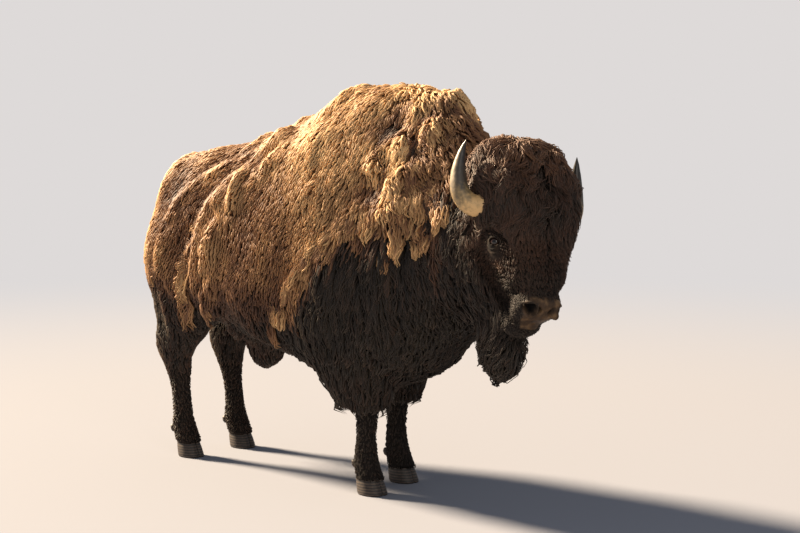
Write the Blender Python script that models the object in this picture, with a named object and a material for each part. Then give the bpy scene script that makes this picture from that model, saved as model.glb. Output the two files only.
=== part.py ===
"""American bison, an adult bull standing at ease: a still, life-size model in solids.

Metres, +X forward, +Y the animal's left, +Z up. Within the tables x is 0 on the forelegs' line and z is 0
on the ground. The body's outline, out to the tips of the coat, is one rounded form: lofts of closed
sections, melted into each other. It is meshed once and parted with thin cuts where its parts are named.
"""
import math

import bmesh
import bpy
import numpy as np
from mathutils import Vector

# Driving sizes
GAP = 0.0004                # clearance between neighbouring solids
HOOF_TOP = 0.075            # height of the coronet, where flesh meets hoof
KNEE_CUT = 0.400            # level at which each foreleg is parted
HOCK_CUT = 0.470            # level at which each hind leg is parted
RUMP_CUT = -0.960           # rump from barrel
SHOULDER_CUT = -0.480       # barrel from shoulders and hump
NECK_CUT = 0.420            # shoulders from neck
EYE_RADIUS = 0.021
EAR_LENGTH = 0.125
REACH = 3.0                 # larger than the animal: the size of the cutting blocks
BODY_VOXEL = 0.020          # fineness of the mesh before it is thinned
BODY_TRIANGLES = 3150       # what the whole body is thinned to, before its cuts
HEAD_CARE = 0.993           # thinning weight on the head, against 1 on the trunk

# Head: where the poll is, how the head is turned and its size against the table's
POLL = (0.917, -0.105, 1.414)
HEAD_TURN = math.radians(-14.0)      # towards the animal's right
HEAD_DROP = math.radians(60.0)       # the face below level
HEAD_TILT = math.radians(9.0)        # left side down
HEAD_SCALE = 1.035
CHIN = (0.41, 0.0, -0.245)           # where the beard hangs: along the face, left, out of the forehead
EYE = (0.228, 0.150, -0.094)
NOSTRIL = (0.528, 0.044, -0.104)

# How far each foot stands before or behind its place in the tables
FORE_STEP = {"right": -0.03, "left": -0.12}
HIND_STEP = {"right": 0.0, "left": 0.0}

# Trunk with its coat: x, top, widest level, bottom, half width, sideways centre, fullness of the top
TRUNK = (
    (-1.52, 1.270, 1.06, 0.870, 0.150, 0.000, 2.3),     # tail head
    (-1.44, 1.400, 1.05, 0.800, 0.225, 0.000, 2.3),
    (-1.32, 1.465, 1.04, 0.750, 0.280, 0.000, 2.3),     # pin bones
    (-1.12, 1.505, 1.03, 0.700, 0.325, 0.000, 2.2),     # hips
    (-0.86, 1.548, 1.00, 0.620, 0.368, 0.000, 2.1),     # loin
    (-0.60, 1.605, 0.98, 0.565, 0.405, 0.000, 2.0),
    (-0.35, 1.705, 1.00, 0.530, 0.410, 0.000, 1.9),     # last ribs
    (-0.15, 1.790, 1.02, 0.515, 0.395, 0.000, 1.8),
    (0.05, 1.828, 1.04, 0.510, 0.375, 0.000, 1.8),      # crest of the hump
    (0.25, 1.822, 1.06, 0.565, 0.350, -0.005, 1.8),
    (0.38, 1.782, 1.08, 0.650, 0.320, -0.015, 1.8),
    (0.50, 1.668, 1.10, 0.770, 0.290, -0.030, 1.85),    # fall of the hump into the neck
    (0.62, 1.515, 1.15, 0.900, 0.260, -0.045, 1.9),
    (0.75, 1.400, 1.18, 1.000, 0.210, -0.060, 2.0),     # nape
)
# Hanging hair of the throat, the same columns
RUFF = (
    (0.34, 1.300, 1.05, 0.740, 0.200, -0.020, 2.1),
    (0.50, 1.300, 1.05, 0.800, 0.240, -0.040, 2.1),
    (0.64, 1.300, 1.06, 0.850, 0.245, -0.060, 2.1),
    (0.78, 1.300, 1.08, 0.900, 0.215, -0.085, 2.1),
    (0.90, 1.260, 1.08, 0.950, 0.150, -0.110, 2.1),
)
# Hind leg: height, fore-and-aft centre, distance from the midline, half length, half width
HIND = (
    (1.24, -1.180, 0.105, 0.160, 0.140),
    (1.12, -1.210, 0.138, 0.220, 0.150),     # thigh
    (1.00, -1.220, 0.158, 0.240, 0.152),
    (0.88, -1.215, 0.168, 0.238, 0.142),
    (0.76, -1.210, 0.172, 0.212, 0.120),     # stifle
    (0.66, -1.235, 0.172, 0.178, 0.096),
    (0.56, -1.290, 0.168, 0.130, 0.074),     # gaskin
    (0.50, -1.310, 0.166, 0.098, 0.061),     # hock
    (0.43, -1.292, 0.165, 0.068, 0.050),
    (0.32, -1.272, 0.165, 0.047, 0.041),     # cannon
    (0.22, -1.260, 0.165, 0.047, 0.043),
    (0.16, -1.255, 0.165, 0.055, 0.051),     # fetlock
    (0.10, -1.230, 0.165, 0.057, 0.055),
    (0.06, -1.210, 0.165, 0.063, 0.059),     # coronet
)
# Foreleg, the same columns
FORE = (
    (1.15, -0.020, 0.150, 0.170, 0.150),
    (0.98, -0.010, 0.185, 0.185, 0.150),     # shoulder
    (0.84, -0.020, 0.185, 0.160, 0.125),
    (0.72, -0.020, 0.172, 0.125, 0.095),     # elbow
    (0.60, 0.000, 0.158, 0.090, 0.072),
    (0.50, 0.020, 0.148, 0.070, 0.060),
    (0.42, 0.030, 0.142, 0.064, 0.058),      # knee
    (0.35, 0.025, 0.140, 0.050, 0.048),
    (0.26, 0.020, 0.140, 0.044, 0.043),      # cannon
    (0.18, 0.020, 0.142, 0.050, 0.048),
    (0.14, 0.025, 0.144, 0.056, 0.053),      # fetlock
    (0.10, 0.040, 0.145, 0.058, 0.056),
    (0.06, 0.055, 0.145, 0.066, 0.062),      # coronet
)
# Long hair of the foreleg down to the knee, the same columns
CHAPS = (
    (0.98, -0.050, 0.185, 0.220, 0.145),
    (0.80, -0.065, 0.180, 0.245, 0.145),
    (0.66, -0.050, 0.165, 0.240, 0.138),
    (0.54, -0.030, 0.153, 0.205, 0.124),
    (0.45, -0.005, 0.145, 0.160, 0.104),
    (0.37, 0.012, 0.141, 0.090, 0.072),
)
# Tuft of the sheath under the belly, the same columns
SHEATH = (
    (0.66, -0.80, 0.0, 0.140, 0.090),
    (0.58, -0.82, 0.0, 0.125, 0.075),
    (0.52, -0.83, 0.0, 0.095, 0.058),
    (0.46, -0.84, 0.0, 0.055, 0.036),
)
# Beard, its height above the chin, the same columns
BEARD = (
    (0.12, -0.07, 0.0, 0.135, 0.080),
    (0.02, -0.07, 0.0, 0.155, 0.088),
    (-0.08, -0.07, 0.0, 0.155, 0.085),
    (-0.18, -0.07, 0.0, 0.148, 0.080),
    (-0.27, -0.07, 0.0, 0.125, 0.072),
    (-0.34, -0.07, 0.0, 0.085, 0.055),
)
# Head under its short hair: along the face from the poll, top, widest level, bottom, half width
SKULL = (
    (-0.10, -0.050, -0.140, -0.240, 0.110),
    (0.00, -0.005, -0.120, -0.300, 0.150),
    (0.08, 0.005, -0.110, -0.320, 0.160),
    (0.17, 0.004, -0.100, -0.305, 0.160),    # brow
    (0.24, -0.004, -0.105, -0.270, 0.142),
    (0.31, -0.014, -0.110, -0.228, 0.114),
    (0.38, -0.022, -0.110, -0.205, 0.096),   # bridge of the nose
    (0.44, -0.026, -0.110, -0.202, 0.092),
    (0.49, -0.030, -0.110, -0.206, 0.096),
    (0.54, -0.050, -0.110, -0.204, 0.092),   # muzzle
)
# Lower jaw, the same columns
JAW = (
    (-0.02, -0.160, -0.240, -0.350, 0.100),
    (0.08, -0.150, -0.240, -0.370, 0.105),
    (0.20, -0.150, -0.240, -0.340, 0.090),
    (0.30, -0.150, -0.220, -0.295, 0.068),
    (0.39, -0.150, -0.215, -0.282, 0.066),
    (0.47, -0.155, -0.218, -0.278, 0.068),
    (0.54, -0.160, -0.218, -0.266, 0.064),   # chin
)
# Mop of hair over the brow and cheeks, the same columns
BONNET = (
    (-0.23, 0.010, -0.080, -0.220, 0.150),
    (-0.12, 0.080, -0.050, -0.270, 0.208),
    (-0.01, 0.112, -0.020, -0.270, 0.233),
    (0.10, 0.105, -0.030, -0.270, 0.222),
    (0.20, 0.074, -0.040, -0.270, 0.188),
    (0.29, 0.042, -0.060, -0.240, 0.150),
    (0.38, 0.018, -0.080, -0.225, 0.126),
    (0.45, -0.004, -0.100, -0.200, 0.108),
)
# Horn's core line in the head's frame, and its radius
HORN = (
    (0.056, 0.120, -0.046, 0.046),
    (0.080, 0.180, -0.072, 0.046),
    (0.078, 0.235, -0.092, 0.043),
    (0.038, 0.272, -0.098, 0.039),
    (-0.018, 0.284, -0.088, 0.034),
    (-0.078, 0.284, -0.064, 0.025),
    (-0.130, 0.278, -0.034, 0.014),
    (-0.164, 0.270, -0.010, 0.004),
)
# Ear: root and direction in the head's frame, and the side that its opening faces
EAR_ROOT = (0.110, 0.150, -0.175)
EAR_ALONG = (0.42, 0.80, -0.42)
EAR_OPENS = (0.60, 0.10, 0.80)
EAR_WIDTH = 0.034
EAR_THICK = 0.008
EAR_CUP = 0.012
EAR_TIP = 0.72              # how much of its width the ear has lost at its tip
# Hollow in the hair before the eye: its radius, and its centre from the eye's
WINDOW_RADIUS = 0.050
WINDOW_PLACE = (0.010, 0.044, 0.010)
# Nostril's pit: half length along the face, half width and half depth, and its lean outwards
PIT = (0.026, 0.016, 0.022)
PIT_LEAN = 0.4
# Mouth cut in the head's frame, along and out, and the head's own cut from the neck
MOUTH = ((0.75, -0.180), (0.365, -0.205), (0.215, -0.60), (0.75, -0.60))
NECK_SEAT = (0.790, -0.080, 1.200)
NECK_YAW = math.radians(-10.0)
NECK_PITCH = math.radians(9.0)
# Level cut over the beard: where it starts, its height there and its climb forwards
BEARD_BACK = 0.58
BEARD_TOP = 0.762
BEARD_CLIMB = 0.06

# Tail: its top and end, where the switch ends, and both their radii by height
TAIL_TOP = 1.34
TAIL_LIES_TO = 0.86
TAIL_END = 0.72
TAIL_RADIUS = ((0.72, 0.018), (0.90, 0.020), (1.34, 0.030))
SWITCH = ((0.7196, 0.018), (0.69, 0.034), (0.64, 0.042), (0.58, 0.036), (0.53, 0.020), (0.50, 0.006))

# Claws: half length and width of the fore and hind ones; profile by height, set back and size
CLAWS = {"fore": (0.066, 0.056), "hind": (0.062, 0.052)}
CLAW_PROFILE = ((0.0, 0.0, 1.0), (0.010, 0.003, 1.03), (0.045, 0.014, 0.96), (HOOF_TOP - GAP, 0.024, 0.86))
CLAW_AHEAD = 0.012          # claw's middle before the leg's
CLEFT = 0.002               # inner wall from the foot's middle plane
SPLAY = 0.03                # how much wider the cleft is in front
DEWCLAW = (0.014, 0.012, 0.019)
DEWCLAW_HEIGHT = 0.128
DEWCLAW_APART = 0.024

# Blocks over the legs: back, front, roof at the midline, roof half a metre out, joint
LEG_SPANS = {
    "fore": (-0.34, 0.27, 0.53, 0.86, KNEE_CUT),
    "hind": (-1.70, -0.985, 0.70, 1.00, HOCK_CUT),
}
LEG_BLOCK_WIDTH = 0.5

# Colours of the parts, linear
TAWNY = (0.30, 0.18, 0.09, 1.0)
UMBER = (0.075, 0.042, 0.026, 1.0)
SABLE = (0.022, 0.014, 0.010, 1.0)
MUZZLE = (0.060, 0.040, 0.030, 1.0)
KERATIN = (0.16, 0.12, 0.07, 1.0)
HOOF = (0.030, 0.024, 0.020, 1.0)
CORNEA = (0.010, 0.006, 0.004, 1.0)


def turn(axis, angle):
    """Rotation matrix about an axis."""
    x, y, z = np.array(axis, float) / np.linalg.norm(axis)
    skew = np.array([[0, -z, y], [z, 0, -x], [-y, x, 0]])
    return np.eye(3) + math.sin(angle) * skew + (1 - math.cos(angle)) * skew @ skew


class Frame:
    """Where a loft stands: its length, side and level axes, its scale and the foot's step."""

    def __init__(self, origin, axes, scale=1.0, step=0.0):
        self.origin = np.array(origin, float)
        self.axes = np.array(axes, float)
        self.scale = scale
        self.step = step

    def lean(self, height):
        """A step grows from nothing at the shoulder to its whole length at the knee."""
        return self.step * np.clip((1.15 - height) / 0.6, 0, 1)

    def local(self, points):
        along, side, level = ((points - self.origin) @ self.axes.T / self.scale).T
        return along, side, level - self.lean(along)

    def world(self, along, side, level):
        place = np.stack([along, side, level + self.lean(along)], axis=-1)
        return self.origin + self.scale * place @ self.axes


class Loft:
    """Closed sections along a line. Each row is along, side, level, half width, rise, fall, fullness."""

    SAMPLES = 240
    LOWER_FULLNESS = 2.3

    def __init__(self, rows, ends, ease=21):
        rows = np.array(sorted(rows), float)
        self.first, self.last = rows[0, 0], rows[-1, 0]
        self.ends = ends
        self.along = np.linspace(self.first, self.last, self.SAMPLES)
        weights = np.hanning(ease + 2)[1:-1]
        weights = weights / weights.sum()
        self.columns = []
        for values in rows.T[1:]:
            fine = np.interp(self.along, rows[:, 0], values)
            before = 2 * fine[0] - fine[ease:0:-1]
            after = 2 * fine[-1] - fine[-2:-ease - 2:-1]
            eased = np.convolve(np.concatenate([before, fine, after]), weights, "same")
            self.columns.append(eased[ease:-ease])

    def section(self, along):
        """Section at each place, drawn in towards the loft's two rounded ends."""
        start = np.clip((self.first + self.ends[0] - along) / self.ends[0], 0, 0.995)
        end = np.clip((along - self.last + self.ends[1]) / self.ends[1], 0, 0.995)
        shrink = np.sqrt((1 - start ** 2) * (1 - end ** 2))
        side, level, wide, rise, fall, full = [np.interp(along, self.along, c) for c in self.columns]
        return side, level, wide * shrink, rise * shrink, fall * shrink, full

    def distance(self, along, side, level):
        """Distance out of the surface along the ray from the section's centre: below 0 inside."""
        inside = np.clip(along, self.first, self.last)
        centre, middle, wide, rise, fall, full = self.section(inside)
        across, up = side - centre, level - middle
        tall = np.where(up > 0, rise, fall)
        full = np.where(up > 0, full, self.LOWER_FULLNESS)
        ratio = ((np.abs(across) / wide) ** full + (np.abs(up) / tall) ** full) ** (1 / full) + 1e-9
        around = np.hypot(across, up) * (1 - 1 / ratio)
        past = np.abs(along - inside)
        return np.where(past > 0, np.hypot(np.maximum(around, 0), past), around)

    def rings(self, count, sides):
        """Points of the sections: ring by ring, as along, side and level."""
        along = np.linspace(self.first, self.last, count)[:, None]
        centre, middle, wide, rise, fall, full = self.section(along)
        angle = np.arange(sides) * 2 * math.pi / sides
        cosine, sine = np.cos(angle), np.sin(angle)
        tall = np.where(sine > 0, rise, fall)
        full = np.where(sine > 0, full, self.LOWER_FULLNESS)
        radius = ((np.abs(cosine) / wide) ** full + (np.abs(sine) / tall) ** full) ** (-1 / full)
        return along + 0 * radius, centre + radius * cosine, middle + radius * sine


def profile(rows, ends, fullness=2.3):
    """Loft from rows of along, top, widest level, bottom, half width and, if given, side and fullness."""
    table = []
    for along, top, level, bottom, wide, *rest in rows:
        side, full = rest if rest else (0.0, fullness)
        table.append((along, side, level, wide, top - level, level - bottom, full))
    return Loft(table, ends)


def column(rows, ends):
    """Upright loft from rows of height, fore-and-aft centre, side, half length and half width."""
    table = [(height, side, x, wide, long, long, 2.3) for height, x, side, long, wide in rows]
    return Loft(table, ends, ease=15)


def head_frame():
    """The head's frame: along the face, to its left, and out of the forehead."""
    yaw = turn((0, 0, 1), HEAD_TURN)
    tilt = turn(yaw @ np.array([1.0, 0.0, 0.0]), -HEAD_TILT)
    axes = (tilt @ yaw @ turn((0, 1, 0), HEAD_DROP)).T
    return Frame(POLL, axes, scale=HEAD_SCALE)


def head_point(place, side=1):
    """World place of a point given in the head's frame, mirrored to the right with side -1."""
    along, left, out = place
    return HEAD.world(np.array(along), np.array(left * side), np.array(out))


HEAD = head_frame()
BODY = Frame((0, 0, 0), np.eye(3))
SIDES = {"left": 1, "right": -1}


def upright(side, step, origin=(0, 0, 0), yaw=0.0):
    """Frame of an upright loft: height, outwards to its side, and forward."""
    spin = turn((0, 0, 1), yaw)
    axes = ((0, 0, 1), spin @ np.array([0, side, 0]), spin @ np.array([1, 0, 0]))
    return Frame(origin, axes, step=step)


def body_parts():
    """Each loft with its frame and the width over which it melts into the ones before it."""
    parts = [
        (profile(TRUNK, (0.20, 0.12)), BODY, 0.0),
        (column(SHEATH, (0.03, 0.03)), upright(1, 0), 0.05),
        (profile(RUFF, (0.10, 0.12)), BODY, 0.06),
    ]
    hind = column(HIND, (0.01, 0.28))
    fore = column(FORE, (0.01, 0.12))
    chaps = column(CHAPS, (0.05, 0.10))
    for name, side in SIDES.items():
        parts.append((hind, upright(side, HIND_STEP[name]), 0.16))
        parts.append((fore, upright(side, FORE_STEP[name]), 0.10))
        parts.append((chaps, upright(side, FORE_STEP[name]), 0.06))
    parts.append((profile(SKULL, (0.08, 0.05), 2.5), HEAD, 0.08))
    parts.append((profile(JAW, (0.06, 0.04)), HEAD, 0.03))
    parts.append((profile(BONNET, (0.08, 0.06)), HEAD, 0.03))
    parts.append((column(BEARD, (0.08, 0.05)), upright(1, 0, head_point(CHIN), HEAD_TURN), 0.05))
    return parts


PARTS = body_parts()


def form(points):
    """Distance out of the whole animal's outline."""
    total = None
    for loft, frame, melt in PARTS:
        reach = frame.scale * loft.distance(*frame.local(points))
        if total is None:
            total = reach
            continue
        near = np.maximum(melt - np.abs(total - reach), 0) / melt
        total = np.minimum(total, reach) - near ** 2 * melt / 4
    return total


def slope(points, step=0.002):
    """Gradient of the form by central differences."""
    sides = [form(points + step * axis) - form(points - step * axis) for axis in np.eye(3)]
    return np.stack(sides, axis=-1) / (2 * step)


def settle(mesh, rounds=5, limit=0.03):
    """Moves a mesh's vertices on to the form's surface."""
    points = np.empty(len(mesh.vertices) * 3)
    mesh.vertices.foreach_get("co", points)
    points = points.reshape(-1, 3)
    for _ in range(rounds):
        grade = slope(points)
        move = -form(points)[:, None] * grade / ((grade ** 2).sum(axis=1)[:, None] + 1e-9)
        length = np.linalg.norm(move, axis=1)[:, None] + 1e-9
        points = points + move * np.minimum(1, limit / length)
    mesh.vertices.foreach_set("co", points.ravel())
    mesh.update()


def finish(name, colour, roughness):
    """The part's own material."""
    material = bpy.data.materials.new(name)
    material.use_nodes = True
    shader = material.node_tree.nodes["Principled BSDF"]
    shader.inputs["Base Color"].default_value = colour
    shader.inputs["Roughness"].default_value = roughness
    shader.inputs["Metallic"].default_value = 0.0
    return material


def add_object(name, mesh):
    item = bpy.data.objects.new(name, mesh)
    bpy.context.scene.collection.objects.link(item)
    return item


def skin_rings(bm, rings):
    """Joins rings of points with quads and closes both ends."""
    loops = [[bm.verts.new(point) for point in ring] for ring in rings]
    for low, high in zip(loops[:-1], loops[1:]):
        for here in range(len(low)):
            there = (here + 1) % len(low)
            bm.faces.new((low[here], low[there], high[there], high[here]))
    bm.faces.new(loops[0][::-1])
    bm.faces.new(loops[-1])


def ring_mesh(name, rings):
    """Closed mesh through rings of points, triangles at its ends, faces outwards."""
    bm = bmesh.new()
    skin_rings(bm, rings)
    bm.normal_update()
    bmesh.ops.recalc_face_normals(bm, faces=bm.faces)
    bmesh.ops.triangulate(bm, faces=bm.faces)
    mesh = bpy.data.meshes.new(name)
    bm.to_mesh(mesh)
    bm.free()
    return mesh


def evaluated(item):
    """A new mesh of an object with its modifiers."""
    graph = bpy.context.evaluated_depsgraph_get()
    return bpy.data.meshes.new_from_object(item.evaluated_get(graph))


def discard(item):
    mesh = item.data
    bpy.data.objects.remove(item)
    bpy.data.meshes.remove(mesh)


def body_mesh():
    """The whole outline as one closed mesh: lofts joined by a voxel remesh, thinned, then settled."""
    bm = bmesh.new()
    for loft, frame, _ in PARTS:
        part = bmesh.new()
        skin_rings(part, frame.world(*loft.rings(30, 32)))
        part.normal_update()
        bmesh.ops.recalc_face_normals(part, faces=part.faces)
        mesh = bpy.data.meshes.new("loft")
        part.to_mesh(mesh)
        part.free()
        bm.from_mesh(mesh)
        bpy.data.meshes.remove(mesh)
    cage = bpy.data.meshes.new("cage")
    bm.to_mesh(cage)
    bm.free()
    whole = add_object("cage", cage)
    melt = whole.modifiers.new("melt", "REMESH")
    melt.mode = "VOXEL"
    melt.voxel_size = BODY_VOXEL
    dense = add_object("dense", evaluated(whole))
    discard(whole)
    settle(dense.data)
    plain = dense.vertex_groups.new(name="plain")
    for vertex in dense.data.vertices:
        plain.add([vertex.index], plainness(vertex.co), "REPLACE")
    thin = dense.modifiers.new("thin", "DECIMATE")
    thin.ratio = BODY_TRIANGLES / (2 * len(dense.data.polygons))
    thin.vertex_group = "plain"
    thin.vertex_group_factor = 1.0
    mesh = evaluated(dense)
    discard(dense)
    settle(mesh)
    return mesh


def plainness(point):
    """How far a place may be thinned: little on the head and the feet, freely on the trunk."""
    to_head = (point - Vector(head_point((0.25, 0.0, -0.10)))).length
    head = min(max((to_head - 0.30) / 0.25, 0.0), 1.0)      # whole within 0.30, faded out by 0.55
    feet = min(max((point.z - 0.35) / 0.25, 0.0), 1.0)      # some for the legs under 0.60
    return HEAD_CARE + (1 - HEAD_CARE) * min(head, 0.4 + 0.6 * feet)


def block(name, corners):
    """Cutting block over eight corners: four round the bottom, then four round the top."""
    mesh = ring_mesh(name, (corners[:4], corners[4:]))
    return cutter(name, mesh)


def cutter(name, mesh):
    item = add_object(name, mesh)
    item.hide_render = True
    item.display_type = "WIRE"
    return item


def box(name, low, high):
    """Upright cutting block between two corners."""
    (x0, y0, z0), (x1, y1, z1) = low, high
    foot = [(x0, y0, z0), (x1, y0, z0), (x1, y1, z0), (x0, y1, z0)]
    return block(name, foot + [(x, y, z1) for x, y, _ in foot])


def leg_block(name, side, back, front, inner, outer, grow):
    """Block over one leg. Its roof climbs from the level inner at the midline to outer at its far side."""
    near, far = (GAP / 2 - grow) * side, LEG_BLOCK_WIDTH * side
    x0, x1 = back - grow, front + grow
    foot = [(x0, near, -1.0), (x1, near, -1.0), (x1, far, -1.0), (x0, far, -1.0)]
    roof = [(x, y, (inner if y == near else outer) + grow) for x, y, _ in foot]
    return block(name, foot + roof)


def mouth_block(name, grow):
    """Block over the mouth's outline in the head's frame, right through the head."""
    outline = np.array(MOUTH)
    away = outline - outline.mean(axis=0)
    outline = outline + away / np.linalg.norm(away, axis=1)[:, None] * grow
    rings = [[HEAD.world(along, np.array(side), out) for along, out in outline] for side in (-0.4, 0.4)]
    return cutter(name, ring_mesh(name, rings))


def part_of(name, mesh, material, keep, away=()):
    """One named part of the body: the mesh inside a block, less what stands in it."""
    item = add_object(name, mesh.copy())
    item.data.materials.append(material)
    for operation, tools in (("INTERSECT", keep), ("DIFFERENCE", away)):
        for tool in tools:
            cut = item.modifiers.new(tool.name, "BOOLEAN")
            cut.operation = operation
            cut.solver = "EXACT"
            cut.object = tool
    return item


def smooth_line(points, count):
    """Catmull-Rom curve through points, with any further columns carried along."""
    points = np.array(points, float)
    padded = np.vstack([2 * points[0] - points[1], points, 2 * points[-1] - points[-2]])
    place = np.linspace(0, len(points) - 1, count)
    index = np.minimum(place.astype(int), len(points) - 2)
    t = (place - index)[:, None]
    a, b, c, d = (padded[index + k] for k in range(4))
    square, cube = 2 * a - 5 * b + 4 * c - d, 3 * b - a - 3 * c + d
    return (2 * b + (c - a) * t + square * t ** 2 + cube * t ** 3) / 2


def tube_rings(line, radii, sides, ends=(0.0, 0.0)):
    """Circles square to a line. Each end may be lengthened."""
    line = np.array(line, float)
    heading = np.gradient(line, axis=0)
    heading /= np.linalg.norm(heading, axis=1)[:, None]
    line[0] -= ends[0] * heading[0]
    line[-1] += ends[1] * heading[-1]
    across = np.cross(heading[0], (0.37, 0.91, 0.19))
    rings = []
    for centre, ahead, radius in zip(line, heading, radii):
        across = across - ahead * (across @ ahead)
        across = across / np.linalg.norm(across)
        up = np.cross(ahead, across)
        angles = np.arange(sides) * 2 * math.pi / sides
        rings.append([centre + radius * (math.cos(a) * across + math.sin(a) * up) for a in angles])
    return rings


def horn_mesh(side, grow=0.0):
    """Horn: a tapering tube that leaves the head sideways and curls up and in."""
    rows = smooth_line(HORN, 11)
    line = np.array([head_point(row[:3], side) for row in rows])
    return ring_mesh("horn", tube_rings(line, rows[:, 3] * HEAD_SCALE + grow, 10, (grow, grow)))


def eye_mesh(side, grow=0.0):
    bm = bmesh.new()
    bmesh.ops.create_uvsphere(bm, u_segments=12, v_segments=8, radius=EYE_RADIUS + grow)
    bmesh.ops.translate(bm, verts=bm.verts, vec=head_point(EYE, side))
    bmesh.ops.triangulate(bm, faces=bm.faces)
    mesh = bpy.data.meshes.new("eye")
    bm.to_mesh(mesh)
    bm.free()
    return mesh


def eye_window(side):
    """Hollow in the hair before the eye, a ball that opens outwards and forwards."""
    bm = bmesh.new()
    bmesh.ops.create_uvsphere(bm, u_segments=12, v_segments=8, radius=WINDOW_RADIUS)
    bmesh.ops.translate(bm, verts=bm.verts, vec=head_point(np.array(EYE) + WINDOW_PLACE, side))
    mesh = bpy.data.meshes.new("eye_window")
    bm.to_mesh(mesh)
    bm.free()
    return mesh


def nostril_mesh(side):
    """Nostril: an oval pit that leans outwards."""
    bm = bmesh.new()
    bmesh.ops.create_uvsphere(bm, u_segments=10, v_segments=6, radius=1.0)
    for vertex in bm.verts:
        along, left, out = np.array(vertex.co) * PIT
        place = np.array(NOSTRIL) + (along, left + PIT_LEAN * out, out)
        vertex.co = head_point(place, side)
    bm.normal_update()
    bmesh.ops.recalc_face_normals(bm, faces=bm.faces)
    mesh = bpy.data.meshes.new("nostril")
    bm.to_mesh(mesh)
    bm.free()
    return mesh


def ear_mesh(side, grow=0.0):
    """Ear: a cupped leaf, its sections across the line from root to tip."""
    along = np.array(EAR_ALONG) / np.linalg.norm(EAR_ALONG)
    face = np.array(EAR_OPENS) - along * (np.array(EAR_OPENS) @ along)
    face /= np.linalg.norm(face)
    across = np.cross(along, face)
    rings = []
    for part in np.linspace(0, 1, 8):
        swell = 0.45 + 0.55 * math.sin(math.pi * min(part * 1.1, 1.0) ** 0.8)
        wide = EAR_WIDTH * swell * (1 - EAR_TIP * part ** 4)
        middle = np.array(EAR_ROOT) + along * (EAR_LENGTH * part)
        middle = middle + along * grow * (1 if part == 1 else -1 if part == 0 else 0)
        ring = []
        for angle in np.arange(8) * 2 * math.pi / 8:
            cosine, sine = math.cos(angle), math.sin(angle)
            off = EAR_CUP * cosine ** 2 + (EAR_THICK + grow) * sine
            ring.append(head_point(middle + across * (wide + grow) * cosine + face * off, side))
        rings.append(ring)
    return ring_mesh("ear", rings)


def rump_line(heights):
    """The rump's hindmost place on the midline at each height."""
    x = np.linspace(-1.7, -1.2, 500)
    rear = []
    for height in heights:
        points = np.stack([x, 0 * x, 0 * x + height], axis=-1)
        rear.append(x[np.argmax(form(points) < 0)])
    return np.array(rear)


def tail_rings(grow=0.0):
    """Tail, lying down the rump, and the switch that hangs from its end."""
    heights = np.linspace(TAIL_TOP, TAIL_LIES_TO, 9)
    rear = rump_line(heights) - 0.008      # the tail stands a little off the rump
    rear[0] += 0.035                       # and its root is sunk into it
    hang = [(rear[-1] - 0.004, 0, (TAIL_LIES_TO + TAIL_END) / 2), (rear[-1], 0, TAIL_END)]
    stem = np.vstack([np.stack([rear, 0 * rear, heights], axis=-1), hang])
    stem = smooth_line(stem, 14)
    stem[-2, 0] = stem[-1, 0]              # the last length hangs straight, so its end is level
    thick = np.interp(stem[:, 2], *zip(*TAIL_RADIUS))
    brush = np.array(SWITCH)
    tuft = np.stack([rear[-1] + 0 * brush[:, 0], 0 * brush[:, 0], brush[:, 0] - GAP], axis=-1)
    tail = tube_rings(stem, thick + grow, 8, (grow, 0))
    return tail, tube_rings(tuft, brush[:, 1], 8)


def claw_mesh(ankle, outward, long, wide):
    """One claw of a cloven hoof: a flat sole, a straight inner wall and a round outer one."""
    rings = []
    for height, back, size in CLAW_PROFILE:
        ring = []
        for angle in np.linspace(0, math.pi, 11):
            x = long * size * math.cos(angle)
            y = wide * size * math.sin(angle) ** 0.7 * (1 - 0.22 * max(math.cos(angle), 0) ** 2)
            inner = CLEFT + SPLAY * (x + long)
            ring.append((ankle[0] + x - back, ankle[1] + outward * (inner + y), height))
        rings.append(ring)
    return ring_mesh("claw", rings)


def dewclaw_mesh(place, grow=0.0):
    bm = bmesh.new()
    bmesh.ops.create_uvsphere(bm, u_segments=6, v_segments=4, radius=1.0)
    for vertex in bm.verts:
        x, y, z = np.array(vertex.co) * (np.array(DEWCLAW) + grow)
        vertex.co = Vector(place) + Vector((x - 0.2 * z, y, z))
    bmesh.ops.triangulate(bm, faces=bm.faces)
    mesh = bpy.data.meshes.new("dewclaw")
    bm.to_mesh(mesh)
    bm.free()
    return mesh


def solid(name, mesh, material):
    item = add_object(name, mesh)
    item.data.materials.append(material)
    for polygon in mesh.polygons:
        polygon.use_smooth = True
    return item


def add_feet(materials):
    """Two claws under and two dewclaws behind each foot. Returns the sockets for the dewclaws."""
    sockets = {}
    for leg, rows, steps in (("fore", FORE, FORE_STEP), ("hind", HIND, HIND_STEP)):
        long, wide = CLAWS[leg]
        _, coronet_x, across, _, _ = rows[-1]
        _, fetlock_x, _, fetlock_half, _ = rows[-3]
        heel = fetlock_x - fetlock_half + 0.004      # the dewclaws stand out by all but 4 mm of their radius
        for name, side in SIDES.items():
            ankle = (coronet_x + steps[name] + CLAW_AHEAD, across * side)
            sockets[leg, name] = []
            for claw, outward in (("outer", side), ("inner", -side)):
                solid(f"{leg}_hoof_{claw}_{name}", claw_mesh(ankle, outward, long, wide), materials["hoof"])
                rear = (heel + steps[name], across * side + outward * DEWCLAW_APART, DEWCLAW_HEIGHT)
                solid(f"{leg}_dewclaw_{claw}_{name}", dewclaw_mesh(rear), materials["hoof"])
                socket = cutter(f"socket_{leg}_{claw}_{name}", dewclaw_mesh(rear, GAP))
                sockets[leg, name].append(socket)
    return sockets


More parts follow.
